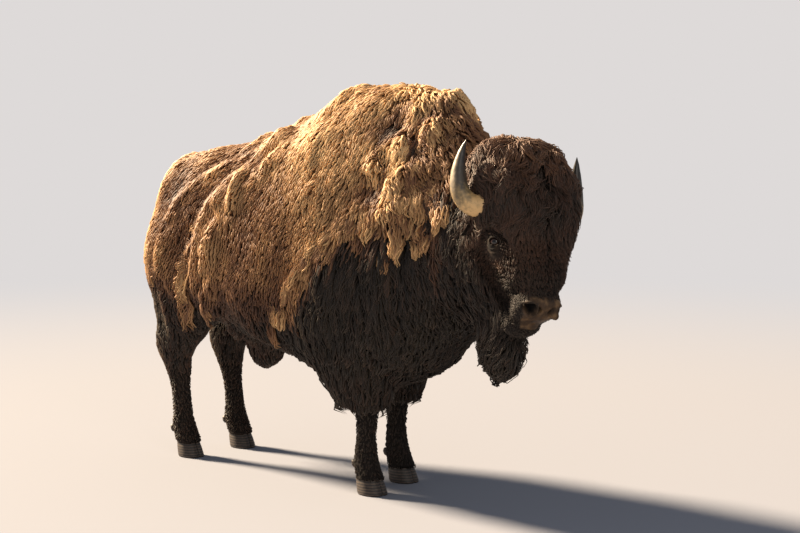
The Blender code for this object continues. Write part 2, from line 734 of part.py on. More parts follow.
def add_legs(mesh, materials, sockets):
    """Upper and lower length of each leg. Returns the blocks that the trunk leaves for them."""
    rooms = []
    for leg, steps, colour in (("fore", FORE_STEP, "sable"), ("hind", HIND_STEP, "umber")):
        back, front, inner, outer, joint = LEG_SPANS[leg]
        for name, side in SIDES.items():
            x0, x1 = back + steps[name], front + steps[name]
            rooms.append(leg_block(f"room_{leg}_{name}", side, x0, x1, inner, outer, GAP))
            keep = leg_block(f"keep_{leg}_{name}", side, x0, x1, inner, outer, 0.0)
            upper = box(f"above_{leg}_{name}", (-REACH, -REACH, joint), (REACH, REACH, REACH))
            lower = box(f"below_{leg}_{name}", (-REACH, -REACH, HOOF_TOP), (REACH, REACH, joint - GAP))
            part_of(f"{leg}leg_upper_{name}", mesh, materials[colour], (keep, upper))
            part_of(f"{leg}leg_lower_{name}", mesh, materials["umber"], (keep, lower), sockets[leg, name])
    return rooms


def add_trunk(mesh, materials, rooms, tail_room, beard_room, head_room, ears):
    """Rump, barrel, shoulders with the hump, and neck, between upright cuts."""
    fore_rooms, hind_rooms = rooms[:2], rooms[2:]
    lengths = (
        ("rump", -REACH, RUMP_CUT, "tawny", hind_rooms + [tail_room]),
        ("barrel", RUMP_CUT + GAP, SHOULDER_CUT, "tawny", ()),
        ("shoulders", SHOULDER_CUT + GAP, NECK_CUT, "tawny", fore_rooms),
        ("neck", NECK_CUT + GAP, REACH, "umber", [head_room, beard_room] + ears),
    )
    for name, back, front, colour, away in lengths:
        span = box(f"span_{name}", (back, -REACH, -REACH), (front, REACH, REACH))
        part_of(name, mesh, materials[colour], (span,), away)


def head_blocks():
    """Blocks that hold the head, the lower jaw and the beard, and the room each of them takes."""
    axes = turn((0, 0, 1), NECK_YAW) @ turn((0, 1, 0), -NECK_PITCH)

    def slab(name, start):
        corners = []
        for level in (-REACH, REACH):
            for front, side in ((start, -1), (start + REACH, -1), (start + REACH, 1), (start, 1)):
                corners.append(np.array(NECK_SEAT) + axes @ np.array([front, side, level]))
        return block(name, corners)

    def under(name, grow):
        corners = []
        for depth in (-1, grow):
            for x, y in ((BEARD_BACK, -1), (REACH, -1), (REACH, 1), (BEARD_BACK, 1)):
                corners.append((x, y, BEARD_TOP + (x - BEARD_BACK) * BEARD_CLIMB + depth))
        return block(name, corners)

    return {
        "head": slab("keep_head", GAP),
        "head_room": slab("room_head", 0.0),
        "beard": under("keep_beard", 0.0),
        "beard_room": under("room_beard", GAP),
        "jaw": mouth_block("keep_jaw", 0.0),
        "jaw_room": mouth_block("room_jaw", 2 * GAP),
    }


def add_head(mesh, materials, blocks):
    """Head, lower jaw, beard, eyes, horns and ears. Returns the ears' sockets."""
    away, ears = [], []
    for name, side in SIDES.items():
        solid(f"eye_{name}", eye_mesh(side), materials["cornea"])
        solid(f"horn_{name}", horn_mesh(side), materials["keratin"])
        solid(f"ear_{name}", ear_mesh(side), materials["umber"])
        ears.append(cutter(f"socket_ear_{name}", ear_mesh(side, 2 * GAP)))
        away.append(cutter(f"window_eye_{name}", eye_window(side)))
        away.append(cutter(f"socket_eye_{name}", eye_mesh(side, GAP)))
        away.append(cutter(f"socket_horn_{name}", horn_mesh(side, GAP)))
        away.append(cutter(f"pit_nostril_{name}", nostril_mesh(side)))
    part_of("head", mesh, materials["sable"], (blocks["head"],),
            [blocks["beard_room"], blocks["jaw_room"]] + ears + away)
    part_of("lower_jaw", mesh, materials["sable"], (blocks["head"], blocks["jaw"]), [blocks["beard_room"]])
    part_of("beard", mesh, materials["sable"], (blocks["beard"],))
    return ears


def stand_on_origin():
    """Parents every object to one empty, which puts the outline's bottom centre on the origin."""
    items = [item for item in bpy.data.objects if item.type == "MESH"]
    shown = [item for item in items if not item.hide_render]
    bpy.context.view_layer.update()
    graph = bpy.context.evaluated_depsgraph_get()
    corners = np.array([corner for item in shown for corner in item.evaluated_get(graph).bound_box])
    middle = (corners.min(axis=0) + corners.max(axis=0)) / 2
    root = bpy.data.objects.new("bison", None)
    bpy.context.scene.collection.objects.link(root)
    root.location = (-middle[0], -middle[1], -corners[:, 2].min())
    for item in items:
        item.parent = root


def main():
    for item in list(bpy.data.objects):
        bpy.data.objects.remove(item)
    materials = {
        "tawny": finish("tawny_wool", TAWNY, 0.90),
        "umber": finish("umber_coat", UMBER, 0.85),
        "sable": finish("sable_hair", SABLE, 0.80),
        "keratin": finish("horn_keratin", KERATIN, 0.45),
        "hoof": finish("hoof_keratin", HOOF, 0.55),
        "cornea": finish("eye_cornea", CORNEA, 0.08),
    }
    mesh = body_mesh()
    sockets = add_feet(materials)
    rooms = add_legs(mesh, materials, sockets)
    blocks = head_blocks()
    ears = add_head(mesh, materials, blocks)
    tail, switch = tail_rings()
    solid("tail", ring_mesh("tail", tail), materials["umber"])
    solid("tail_switch", ring_mesh("tail_switch", switch), materials["sable"])
    tail_room = cutter("room_tail", ring_mesh("tail", tail_rings(GAP)[0]))
    add_trunk(mesh, materials, rooms, tail_room, blocks["beard_room"], blocks["head_room"], ears)
    stand_on_origin()


main()
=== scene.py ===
import math

import bmesh
import bpy
import numpy as np
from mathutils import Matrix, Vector


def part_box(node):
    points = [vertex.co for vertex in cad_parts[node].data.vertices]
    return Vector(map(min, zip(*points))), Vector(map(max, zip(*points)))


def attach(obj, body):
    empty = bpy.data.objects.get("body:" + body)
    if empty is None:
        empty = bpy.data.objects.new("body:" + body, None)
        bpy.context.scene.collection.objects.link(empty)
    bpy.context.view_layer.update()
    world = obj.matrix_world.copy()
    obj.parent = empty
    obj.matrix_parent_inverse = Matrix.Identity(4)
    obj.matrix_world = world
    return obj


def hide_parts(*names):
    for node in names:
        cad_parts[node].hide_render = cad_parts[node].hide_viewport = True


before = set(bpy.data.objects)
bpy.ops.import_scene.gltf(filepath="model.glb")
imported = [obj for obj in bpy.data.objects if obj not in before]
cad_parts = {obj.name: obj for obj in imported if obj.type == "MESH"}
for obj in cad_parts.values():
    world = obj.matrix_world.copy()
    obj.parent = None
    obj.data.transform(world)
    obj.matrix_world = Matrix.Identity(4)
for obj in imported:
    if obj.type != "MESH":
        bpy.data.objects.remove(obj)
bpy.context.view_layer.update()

# A bull American bison, life-size. Metres, +X forwards, +Y to its left, +Z up. The tables of the body's form
# have x 0 on the forelegs' line and z 0 on the ground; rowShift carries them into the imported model's frame.

# Head: the poll's place, how the head is turned, and its size against the tables
headPose = {
    "poll": (0.917, -0.105, 1.414),
    "turn": math.radians(-14.0),
    "drop": math.radians(60.0),
    "tilt": math.radians(9.0),
    "scale": 1.035,
}
# Places in the head's frame: along the face from the poll, to its left, and out of the forehead
facePlaces = {
    "eye": (0.228, 0.150, -0.094),
    "nostril": (0.516, 0.057, -0.070),
    "chin": (0.41, 0.0, -0.245),
    "earRoot": (0.110, 0.150, -0.175),
    "earAlong": (0.42, 0.80, -0.42),
    "earOpens": (0.60, 0.10, 0.80),
}
eyeRadius = 0.0240
legSteps = {"foreRight": -0.03, "foreLeft": -0.12, "hindRight": 0.0, "hindLeft": 0.0}

# Trunk with its coat: x, top, widest level, bottom, half width, sideways centre, fullness of the top
trunkRows = (
    (-1.52, 1.270, 1.06, 0.870, 0.150, 0.000, 2.3),     # tail head
    (-1.44, 1.400, 1.05, 0.800, 0.225, 0.000, 2.3),
    (-1.32, 1.465, 1.04, 0.750, 0.280, 0.000, 2.3),     # pin bones
    (-1.12, 1.505, 1.03, 0.700, 0.325, 0.000, 2.2),     # hips
    (-0.86, 1.548, 1.00, 0.620, 0.368, 0.000, 2.1),     # loin
    (-0.60, 1.605, 0.98, 0.565, 0.405, 0.000, 2.0),
    (-0.35, 1.705, 1.00, 0.530, 0.410, 0.000, 1.9),     # last ribs
    (-0.15, 1.790, 1.02, 0.515, 0.395, 0.000, 1.8),
    (0.05, 1.828, 1.04, 0.510, 0.375, 0.000, 1.8),      # crest of the hump
    (0.25, 1.822, 1.06, 0.565, 0.350, -0.005, 1.8),
    (0.38, 1.782, 1.08, 0.650, 0.320, -0.015, 1.8),
    (0.50, 1.668, 1.10, 0.770, 0.290, -0.030, 1.85),    # fall of the hump into the neck
    (0.62, 1.515, 1.15, 0.900, 0.260, -0.045, 1.9),
    (0.75, 1.400, 1.18, 1.000, 0.210, -0.060, 2.0),     # nape
)
# Hanging hair of the throat, the same columns
ruffRows = (
    (0.34, 1.300, 1.05, 0.740, 0.200, -0.020, 2.1),
    (0.50, 1.300, 1.05, 0.800, 0.240, -0.040, 2.1),
    (0.64, 1.300, 1.06, 0.850, 0.245, -0.060, 2.1),
    (0.78, 1.300, 1.08, 0.900, 0.215, -0.085, 2.1),
    (0.90, 1.260, 1.08, 0.950, 0.150, -0.110, 2.1),
)
# Hind leg: height, fore-and-aft centre, distance from the midline, half length, half width
hindRows = (
    (1.24, -1.180, 0.105, 0.160, 0.140),
    (1.12, -1.210, 0.138, 0.220, 0.150),     # thigh
    (1.00, -1.220, 0.158, 0.240, 0.152),
    (0.88, -1.215, 0.168, 0.238, 0.142),
    (0.76, -1.210, 0.172, 0.212, 0.120),     # stifle
    (0.66, -1.235, 0.172, 0.178, 0.096),
    (0.56, -1.290, 0.168, 0.130, 0.074),     # gaskin
    (0.50, -1.310, 0.166, 0.098, 0.061),     # hock
    (0.43, -1.292, 0.165, 0.068, 0.050),
    (0.32, -1.272, 0.165, 0.047, 0.041),     # cannon
    (0.22, -1.260, 0.165, 0.047, 0.043),
    (0.16, -1.255, 0.165, 0.055, 0.051),     # fetlock
    (0.10, -1.230, 0.165, 0.057, 0.055),
    (0.06, -1.210, 0.165, 0.063, 0.059),     # coronet
)
# Foreleg, the same columns
foreRows = (
    (1.15, -0.020, 0.150, 0.170, 0.150),
    (0.98, -0.010, 0.185, 0.185, 0.150),     # shoulder
    (0.84, -0.020, 0.185, 0.160, 0.125),
    (0.72, -0.020, 0.172, 0.125, 0.095),     # elbow
    (0.60, 0.000, 0.158, 0.090, 0.072),
    (0.50, 0.020, 0.148, 0.070, 0.060),
    (0.42, 0.030, 0.142, 0.064, 0.058),      # knee
    (0.35, 0.025, 0.140, 0.050, 0.048),
    (0.26, 0.020, 0.140, 0.044, 0.043),      # cannon
    (0.18, 0.020, 0.142, 0.050, 0.048),
    (0.14, 0.025, 0.144, 0.056, 0.053),      # fetlock
    (0.10, 0.040, 0.145, 0.058, 0.056),
    (0.06, 0.055, 0.145, 0.066, 0.062),      # coronet
)
# Long hair of the foreleg down to the knee, the same columns
chapsRows = (
    (0.98, -0.050, 0.185, 0.220, 0.145),
    (0.80, -0.065, 0.180, 0.245, 0.145),
    (0.66, -0.050, 0.165, 0.240, 0.138),
    (0.54, -0.030, 0.153, 0.205, 0.124),
    (0.45, -0.005, 0.145, 0.160, 0.104),
    (0.37, 0.012, 0.141, 0.090, 0.072),
)
# Tuft of the sheath under the belly, the same columns
sheathRows = (
    (0.66, -0.80, 0.0, 0.140, 0.090),
    (0.58, -0.82, 0.0, 0.125, 0.075),
    (0.52, -0.83, 0.0, 0.095, 0.058),
    (0.46, -0.84, 0.0, 0.055, 0.036),
)
# Beard, its height above the chin, the same columns
beardRows = (
    (0.12, -0.07, 0.0, 0.135, 0.080),
    (0.02, -0.07, 0.0, 0.155, 0.088),
    (-0.08, -0.07, 0.0, 0.155, 0.085),
    (-0.18, -0.07, 0.0, 0.148, 0.080),
    (-0.26, -0.075, 0.0, 0.118, 0.070),
    (-0.325, -0.08, 0.0, 0.070, 0.048),
)
# Head under its short hair: along the face from the poll, top, widest level, bottom, half width
skullRows = (
    (-0.10, -0.050, -0.140, -0.240, 0.110),
    (0.00, -0.005, -0.120, -0.300, 0.150),
    (0.08, 0.005, -0.110, -0.320, 0.160),
    (0.17, 0.004, -0.100, -0.305, 0.160),    # brow
    (0.24, -0.004, -0.105, -0.270, 0.142),
    (0.31, -0.014, -0.110, -0.228, 0.114),
    (0.38, -0.022, -0.110, -0.205, 0.096),   # bridge of the nose
    (0.44, -0.026, -0.110, -0.202, 0.092),
    (0.49, -0.030, -0.110, -0.206, 0.096),
    (0.54, -0.050, -0.110, -0.204, 0.092),   # muzzle
)
# Lower jaw, the same columns
jawRows = (
    (-0.02, -0.160, -0.240, -0.350, 0.100),
    (0.08, -0.150, -0.240, -0.370, 0.105),
    (0.20, -0.150, -0.240, -0.340, 0.090),
    (0.30, -0.150, -0.220, -0.295, 0.068),
    (0.39, -0.150, -0.215, -0.282, 0.066),
    (0.47, -0.155, -0.218, -0.282, 0.078),
    (0.555, -0.160, -0.218, -0.272, 0.080),  # chin
)
# Mop of hair over the brow and cheeks, the same columns
bonnetRows = (
    (-0.23, 0.010, -0.080, -0.220, 0.150),
    (-0.12, 0.080, -0.050, -0.270, 0.208),
    (-0.01, 0.112, -0.020, -0.270, 0.233),
    (0.10, 0.105, -0.030, -0.270, 0.222),
    (0.20, 0.074, -0.040, -0.270, 0.188),
    (0.29, 0.042, -0.060, -0.240, 0.150),
    (0.38, 0.018, -0.080, -0.225, 0.126),
    (0.45, -0.004, -0.100, -0.200, 0.108),
)
# Long hair of the cheeks, between the face and the throat, the same columns
cheekRows = (
    (-0.04, -0.09, -0.200, -0.350, 0.175),
    (0.06, -0.08, -0.205, -0.380, 0.200),
    (0.16, -0.08, -0.210, -0.385, 0.195),
    (0.26, -0.09, -0.215, -0.355, 0.160),
    (0.35, -0.10, -0.215, -0.320, 0.118),
    (0.43, -0.13, -0.215, -0.290, 0.088),
)
# Horn's core line in the head's frame, and its radius
hornRows = (
    (0.056, 0.120, -0.046, 0.046),
    (0.080, 0.180, -0.072, 0.046),
    (0.078, 0.235, -0.092, 0.043),
    (0.038, 0.272, -0.098, 0.039),
    (-0.018, 0.284, -0.088, 0.034),
    (-0.078, 0.284, -0.064, 0.025),
    (-0.130, 0.278, -0.034, 0.014),
    (-0.164, 0.270, -0.010, 0.004),
)
# Depth of the coat over the skin, along each loft. Under long hair the skin is its felted underwool.
coatDepth = {
    "trunk": ((-1.52, 0.016), (-1.10, 0.020), (-0.60, 0.022), (-0.20, 0.024), (0.20, 0.027), (0.50, 0.030)),
    "hind": ((0.06, 0.003), (0.20, 0.004), (0.45, 0.006), (0.65, 0.010), (0.90, 0.018), (1.24, 0.020)),
    "fore": ((0.06, 0.003), (0.20, 0.004), (0.42, 0.006), (0.60, 0.014), (0.84, 0.026), (1.15, 0.030)),
    "skull": ((-0.10, 0.035), (0.10, 0.030), (0.22, 0.020), (0.32, 0.015), (0.40, 0.010), (0.45, 0.004),
              (0.49, 0.001)),
    "jaw": ((0.00, 0.022), (0.30, 0.014), (0.40, 0.008), (0.47, 0.003), (0.53, 0.001)),
    "throat": ((0.0, 0.036),),
    "chaps": ((0.3, 0.030), (1.0, 0.034)),
    "sheath": ((0.4, 0.024), (0.7, 0.030)),
    "bonnet": ((-0.23, 0.032), (0.10, 0.032), (0.25, 0.022), (0.45, 0.012)),
    "beard": ((-0.34, 0.050), (0.12, 0.040)),
    "cheek": ((0.00, 0.032), (0.30, 0.024), (0.43, 0.014)),
}
roundness = 2.3                              # power of a section's curve where its table gives none
stepFade = {"from": 1.15, "over": 0.6}       # heights over which a leg's step grows downwards


def turnMatrix(axis, angle):
    # Rodrigues' rotation matrix about an axis
    x, y, z = np.array(axis, float) / np.linalg.norm(axis)
    skew = np.array([[0, -z, y], [z, 0, -x], [-y, x, 0]])
    return np.eye(3) + math.sin(angle) * skew + (1 - math.cos(angle)) * skew @ skew


def smoothStep(low, high, value):
    # 0 below low, 1 above high, and an S between them
    t = np.clip((value - low) / (high - low), 0, 1)
    return t * t * (3 - 2 * t)


def fade(low, high, value):
    # 1 below low, 0 above high
    return 1 - smoothStep(low, high, value)


def blend(first, second, share):
    return first * (1 - share) + second * share


def unit(vectors):
    return vectors / (np.linalg.norm(vectors, axis=-1, keepdims=True) + 1e-9)


def makeFrame(origin, axes, scale=1.0, step=0.0):
    # A frame's rows are its length, its side and its level
    return {"origin": np.array(origin, float), "axes": np.array(axes, float), "scale": scale, "step": step}


def leanOf(place, height):
    # a leg's step grows from nothing at the shoulder to its whole length at the knee
    return place["step"] * np.clip((stepFade["from"] - height) / stepFade["over"], 0, 1)


def toLocal(place, points):
    along, side, level = ((points - place["origin"]) @ place["axes"].T / place["scale"]).T
    return along, side, level - leanOf(place, along)


def toWorld(place, along, side, level):
    local = np.stack([along, side, level + leanOf(place, along)], axis=-1)
    return place["origin"] + place["scale"] * local @ place["axes"]


def makeLoft(rows, ends, ease=21, samples=240):
    # Closed sections along a line: each column of the table is sampled finely and eased with a Hann window
    rows = np.array(sorted(rows), float)
    along = np.linspace(rows[0, 0], rows[-1, 0], samples)
    weights = np.hanning(ease + 2)[1:-1]
    weights = weights / weights.sum()
    columns = []
    for values in rows.T[1:]:
        fine = np.interp(along, rows[:, 0], values)
        before = 2 * fine[0] - fine[ease:0:-1]
        after = 2 * fine[-1] - fine[-2:-ease - 2:-1]
        eased = np.convolve(np.concatenate([before, fine, after]), weights, "same")
        columns.append(eased[ease:-ease])
    return {"first": rows[0, 0], "last": rows[-1, 0], "ends": ends, "along": along, "columns": columns}


def loftDistance(loft, along, side, level):
    # Distance out of the loft along the ray from its section's centre. The section is a superellipse
    # |across / wide|^n + |up / tall|^n = 1, drawn in towards the two ends as a circle is.
    inside = np.clip(along, loft["first"], loft["last"])
    start = np.clip((loft["first"] + loft["ends"][0] - inside) / loft["ends"][0], 0, 0.995)
    end = np.clip((inside - loft["last"] + loft["ends"][1]) / loft["ends"][1], 0, 0.995)
    shrink = np.sqrt((1 - start ** 2) * (1 - end ** 2))
    centre, middle, wide, rise, fall, full = [np.interp(inside, loft["along"], c) for c in loft["columns"]]
    across, up = side - centre, level - middle
    tall = np.where(up > 0, rise, fall) * shrink
    full = np.where(up > 0, full, roundness)
    ratio = ((np.abs(across) / (wide * shrink)) ** full + (np.abs(up) / tall) ** full) ** (1 / full) + 1e-9
    around = np.hypot(across, up) * (1 - 1 / ratio)
    past = np.abs(along - inside)
    return np.where(past > 0, np.hypot(np.maximum(around, 0), past), around)


def profileLoft(rows, ends, fullness=roundness):
    table = []
    for along, top, level, bottom, wide, *rest in rows:
        side, full = rest if rest else (0.0, fullness)
        table.append((along, side, level, wide, top - level, level - bottom, full))
    return makeLoft(table, ends)


def columnLoft(rows, ends):
    table = [(height, side, x, wide, long, long, roundness) for height, x, side, long, wide in rows]
    return makeLoft(table, ends, ease=15)


def makeHeadFrame():
    yaw = turnMatrix((0, 0, 1), headPose["turn"])
    tilt = turnMatrix(yaw @ np.array([1.0, 0.0, 0.0]), -headPose["tilt"])
    axes = (tilt @ yaw @ turnMatrix((0, 1, 0), headPose["drop"])).T
    return makeFrame(headPose["poll"], axes, headPose["scale"])


def uprightFrame(side, step, origin=(0, 0, 0), yaw=0.0):
    spin = turnMatrix((0, 0, 1), yaw)
    axes = ((0, 0, 1), spin @ np.array([0, side, 0]), spin @ np.array([1, 0, 0]))
    return makeFrame(origin, axes, step=step)


def headPoint(place, side=1):
    along, left, out = np.moveaxis(np.asarray(place, float), -1, 0)
    return toWorld(headFrame, along, left * side, out)


headFrame = makeHeadFrame()
worldFrame = makeFrame((0, 0, 0), np.eye(3))
sides = {"Left": 1, "Right": -1}


def makeBodyParts():
    # Every loft with its frame, the width over which it melts into those before it, and its coat's depth
    trunk, chin = profileLoft(trunkRows, (0.20, 0.12)), headPoint(facePlaces["chin"])
    hind, fore = columnLoft(hindRows, (0.01, 0.28)), columnLoft(foreRows, (0.01, 0.12))
    chaps = columnLoft(chapsRows, (0.05, 0.10))
    parts = [
        (trunk, worldFrame, 0.0, "trunk"),
        (columnLoft(sheathRows, (0.03, 0.03)), uprightFrame(1, 0), 0.05, "sheath"),
        (profileLoft(ruffRows, (0.10, 0.12)), worldFrame, 0.06, "throat"),
    ]
    for name, side in sides.items():
        parts.append((hind, uprightFrame(side, legSteps["hind" + name]), 0.16, "hind"))
        parts.append((fore, uprightFrame(side, legSteps["fore" + name]), 0.10, "fore"))
        parts.append((chaps, uprightFrame(side, legSteps["fore" + name]), 0.06, "chaps"))
    beardFrame = uprightFrame(1, 0, chin, headPose["turn"])
    return parts + [
        (profileLoft(skullRows, (0.08, 0.05), 2.5), headFrame, 0.08, "skull"),
        (profileLoft(jawRows, (0.06, 0.04)), headFrame, 0.03, "jaw"),
        (profileLoft(cheekRows, (0.08, 0.08)), headFrame, 0.07, "cheek"),
        (profileLoft(bonnetRows, (0.08, 0.06)), headFrame, 0.03, "bonnet"),
        (columnLoft(beardRows, (0.08, 0.05)), beardFrame, 0.07, "beard"),
    ]


bodyParts = makeBodyParts()


def melt(first, second, width):
    # smooth minimum of two distances: a parabola fills the corner between them
    near = np.maximum(width - np.abs(first - second), 0) / max(width, 1e-9)
    return np.minimum(first, second) - near ** 2 * width / 4


def wander(points, size, seed):
    # Value noise, -1 to 1: random numbers on a cubic lattice of the given size, eased between its corners.
    # Each corner's number comes from its whole coordinates, mixed with large primes.
    place = points / size
    cell = np.floor(place).astype(np.int64)
    t = place - cell
    t = t * t * (3 - 2 * t)
    total = np.zeros(len(points))
    for corner in np.ndindex(2, 2, 2):
        x, y, z = (cell + corner).T
        mixed = (x * 374761393 + y * 668265263 + z * 2147483647 + seed * 974634777) & 0xFFFFFFFF
        mixed = ((mixed ^ (mixed >> 13)) * 1274126177) & 0xFFFFFFFF
        value = ((mixed ^ (mixed >> 16)) & 0xFFFF) / 32767.5 - 1
        share = np.prod(np.where(np.array(corner), t, 1 - t), axis=1)
        total += value * share
    return total


# Edges of the thick mats of shed wool: each line runs upwards as height and x, and the coat lies lower
# behind it, facing 1, or before it, facing -1. A roll has its height, its distance from the edge and its
# breadth; a hollow its depth, reach and softness.
matEdges = (
    {"line": ((0.60, -0.26), (1.00, -0.20), (1.13, -0.21), (1.30, -0.27), (1.50, -0.33), (1.75, -0.38)),
     "facing": 1, "roll": (1.15, 0.17, 0.15), "hollow": (0.35, 0.12, 0.050), "lumpy": 0.20},     # cape
    {"line": ((0.60, -0.96), (0.84, -1.01), (1.06, -0.97), (1.26, -0.88), (1.36, -0.80), (1.46, -0.64)),
     "facing": 1, "roll": (0.70, 0.11, 0.10), "hollow": (0.75, 0.09, 0.020), "lumpy": 1.00},     # flank
    {"line": ((1.00, -1.26), (1.12, -1.23), (1.24, -1.18), (1.33, -1.08), (1.40, -0.95), (1.46, -0.80)),
     "facing": 1, "roll": (0.45, 0.045, 0.050), "hollow": (0.55, 0.07, 0.020), "lumpy": 0.60},   # rump
    {"line": ((1.05, 0.30), (1.20, 0.36), (1.33, 0.41), (1.62, 0.44), (1.80, 0.40)),
     "facing": -1, "roll": (0.55, 0.055, 0.065), "hollow": (0.60, 0.07, 0.022), "lumpy": 0.60},  # collar
)
matHeight = 0.034
matSizes = {"broad": 0.15, "lump": 0.060, "shag": 0.026, "fade": 0.11}      # sizes of the mats' unevenness


def matRelief(points):
    # Height of the mats of wool, about 0 to 1: rolled edges with hollows beside them, and lumps on the
    # collar and the brow. The legs and the neck have none.
    x, _, z = points.T
    broad = wander(points, matSizes["broad"], 41)
    lumps = wander(points * [1, 1, 0.7], matSizes["lump"], 42)
    shag = wander(points * [1, 1, 0.6], matSizes["shag"], 43)
    faded = 0.65 + 0.35 * wander(points, matSizes["fade"], 44)
    collar = smoothStep(0.06, 0.24, x) * smoothStep(1.15, 1.3, z)
    relief = 0.34 * broad - 0.20 + (0.12 + 1.1 * collar) * lumps + 0.05 * shag
    for edge in matEdges:
        (roll, inset, breadth), (drop, reach, soft) = edge["roll"], edge["hollow"]
        past = edge["facing"] * (np.interp(z, *zip(*edge["line"])) - x)
        past = past + 0.035 * broad + 0.026 * lumps + 0.008 * shag
        hollow = smoothStep(-soft, 1.2 * soft, past) * np.exp(-np.maximum(past, 0) / reach)
        crest = np.exp(-((past + inset) / breadth) ** 2)
        rolled = roll * faded + edge["lumpy"] * (lumps + 0.35 * shag)
        relief = relief + crest * rolled - drop * faded * hollow
    brow = smoothStep(0.66, 0.76, x) * smoothStep(1.22, 1.34, z)
    return relief * smoothStep(0.52, 0.66, z) * fade(0.50, 0.60, x) + 0.75 * brow * lumps


def outlineForm(points):
    total = None
    for loft, place, width, _ in bodyParts:
        reach = place["scale"] * loftDistance(loft, *toLocal(place, points))
        total = reach if total is None else melt(total, reach, width)
    return total


def fleshForm(points):
    # Distance out of the skin: the same lofts, each drawn in by the depth of its coat
    total = None
    for loft, place, width, depth in bodyParts:
        along, side, level = toLocal(place, points)
        under = np.interp(along, *zip(*coatDepth[depth]))
        reach = place["scale"] * loftDistance(loft, along, side, level) + under
        total = reach if total is None else melt(total, reach, width)
    return total


def gradientOf(form, points, step=0.002):
    slopes = [form(points + step * axis) - form(points - step * axis) for axis in np.eye(3)]
    return np.stack(slopes, axis=-1) / (2 * step)


def settle(form, points, rounds=4, limit=0.02):
    # Newton steps along the slope, which carry points on to the surface where the form is 0
    for _ in range(rounds):
        value = form(points)
        slope = np.stack([form(points + 0.001 * axis) - value for axis in np.eye(3)], axis=-1) / 0.001
        move = -value[:, None] * slope / ((slope ** 2).sum(axis=1)[:, None] + 1e-9)
        length = np.linalg.norm(move, axis=1)[:, None] + 1e-9
        points = points + move * np.minimum(1, limit / length)
    return points


def streamField(points):
    # Rows of crimped wool keep one value of this field: they run back along the spine and turn down the
    # flanks. The field is x, plus a share of the turn round the trunk, plus a little unevenness.
    x, y, z = points.T
    turned = 0.5 * np.arctan2(np.abs(y), np.clip(z - 1.0, -0.3, 1))
    slope = np.interp(x, (-1.4, -0.8, -0.2, 0.3), (1.7, 1.0, 0.8, 0.5))
    rows = x + slope * (0.10 * turned + 0.13 * (1 - np.exp(-turned / 0.15)))
    return rows + 0.034 * wander(points, 0.21, 3) + 0.009 * wander(points, 0.075, 4)


# The space round the animal, sampled once: the forms, the rows and their slopes on one lattice
space = {"low": (-1.64, -0.52, -0.03), "high": (1.22, 0.52, 1.92), "step": 0.015}


def sampleSpace():
    low, step = np.array(space["low"]), space["step"]
    size = np.ceil((np.array(space["high"]) - low) / step).astype(int) + 1
    axes = [low[i] + step * np.arange(size[i]) for i in range(3)]
    points = np.stack(np.meshgrid(*axes, indexing="ij"), -1).reshape(-1, 3)
    mats, *forms = [np.concatenate([form(part) for part in np.array_split(points, 12)]).reshape(size)
                    for form in (matRelief, fleshForm, outlineForm, streamField)]
    layers = []
    for values, height in zip(forms, (matHeight, matHeight, 0)):
        values = values - height * mats
        layers += [values] + list(np.gradient(values, step))
    return np.stack(layers + [mats], axis=-1).astype(np.float32)


def readSpace(points, layers=slice(0, 12)):
    # Trilinear reading of the lattice: distances out of the skin and out of the outline, the field of the
    # rows, and each one's slope; or one layer alone
    size = np.array(spaceFields.shape[:3])
    place = np.clip((points - space["low"]) / space["step"], 0, size - 1.001)
    cell = place.astype(int)
    t = (place - cell).astype(np.float32)
    total = 0
    for corner in np.ndindex(2, 2, 2):
        x, y, z = (cell + corner).T
        share = np.prod(np.where(np.array(corner), t, 1 - t), axis=1)
        total = total + spaceFields[x, y, z, layers] * share[:, None]
    if layers.start:
        return total[:, 0]
    return total[:, 0], total[:, 1:4], total[:, 4], total[:, 5:8], total[:, 8], total[:, 9:12]


def surfaceNets(values, low, step):
    # A closed sheet of quads where values pass 0: one corner in each crossed cell, at the mean of the
    # crossings on its twelve edges
    size = np.array(values.shape)
    inside = values < 0
    corners = np.array(list(np.ndindex(2, 2, 2)))
    parts = [values[tuple(slice(c, n - 1 + c) for c, n in zip(corner, size))] for corner in corners]
    count = sum((part < 0).astype(int) for part in parts)
    crossed = (count > 0) & (count < 8)
    index = -np.ones(crossed.shape, int)
    index[crossed] = np.arange(crossed.sum())
    atCorner = np.stack([part[crossed] for part in parts], 1)
    total, hits = np.zeros((len(atCorner), 3)), np.zeros(len(atCorner))
    for a in range(8):
        for b in range(a + 1, 8):
            if np.abs(corners[a] - corners[b]).sum() != 1:
                continue
            first, second = atCorner[:, a], atCorner[:, b]
            hit = (first < 0) != (second < 0)
            t = np.where(hit, first / np.where(hit, first - second, 1), 0)
            total += np.where(hit[:, None], corners[a] + t[:, None] * (corners[b] - corners[a]), 0)
            hits += hit
    points = low + step * (np.argwhere(crossed) + total / hits[:, None])
    quads = []
    for axis in range(3):
        b, c = (axis + 1) % 3, (axis + 2) % 3
        lower = inside[tuple(slice(0, size[i] - (i == axis)) for i in range(3))]
        upper = inside[tuple(slice(int(i == axis), size[i]) for i in range(3))]
        edges = np.argwhere(lower != upper)
        flip = ~lower[tuple(edges.T)]
        ring = []
        for db, dc in ((-1, -1), (0, -1), (0, 0), (-1, 0)):
            cell = edges.copy()
            cell[:, b] += db
            cell[:, c] += dc
            ring.append(index[tuple(cell.T)])
        quad = np.stack(ring, 1)
        quad[flip] = quad[flip][:, ::-1]
        quads.append(quad)
    return points, np.concatenate(quads)
# The nostril's axes in the head's frame: out of it, across it towards the middle of the nose, and down
nostrilAxes = np.array([(0.30, 0.85, 0.43), (0.0, -0.451, 0.892), (0.954, -0.267, -0.135)])
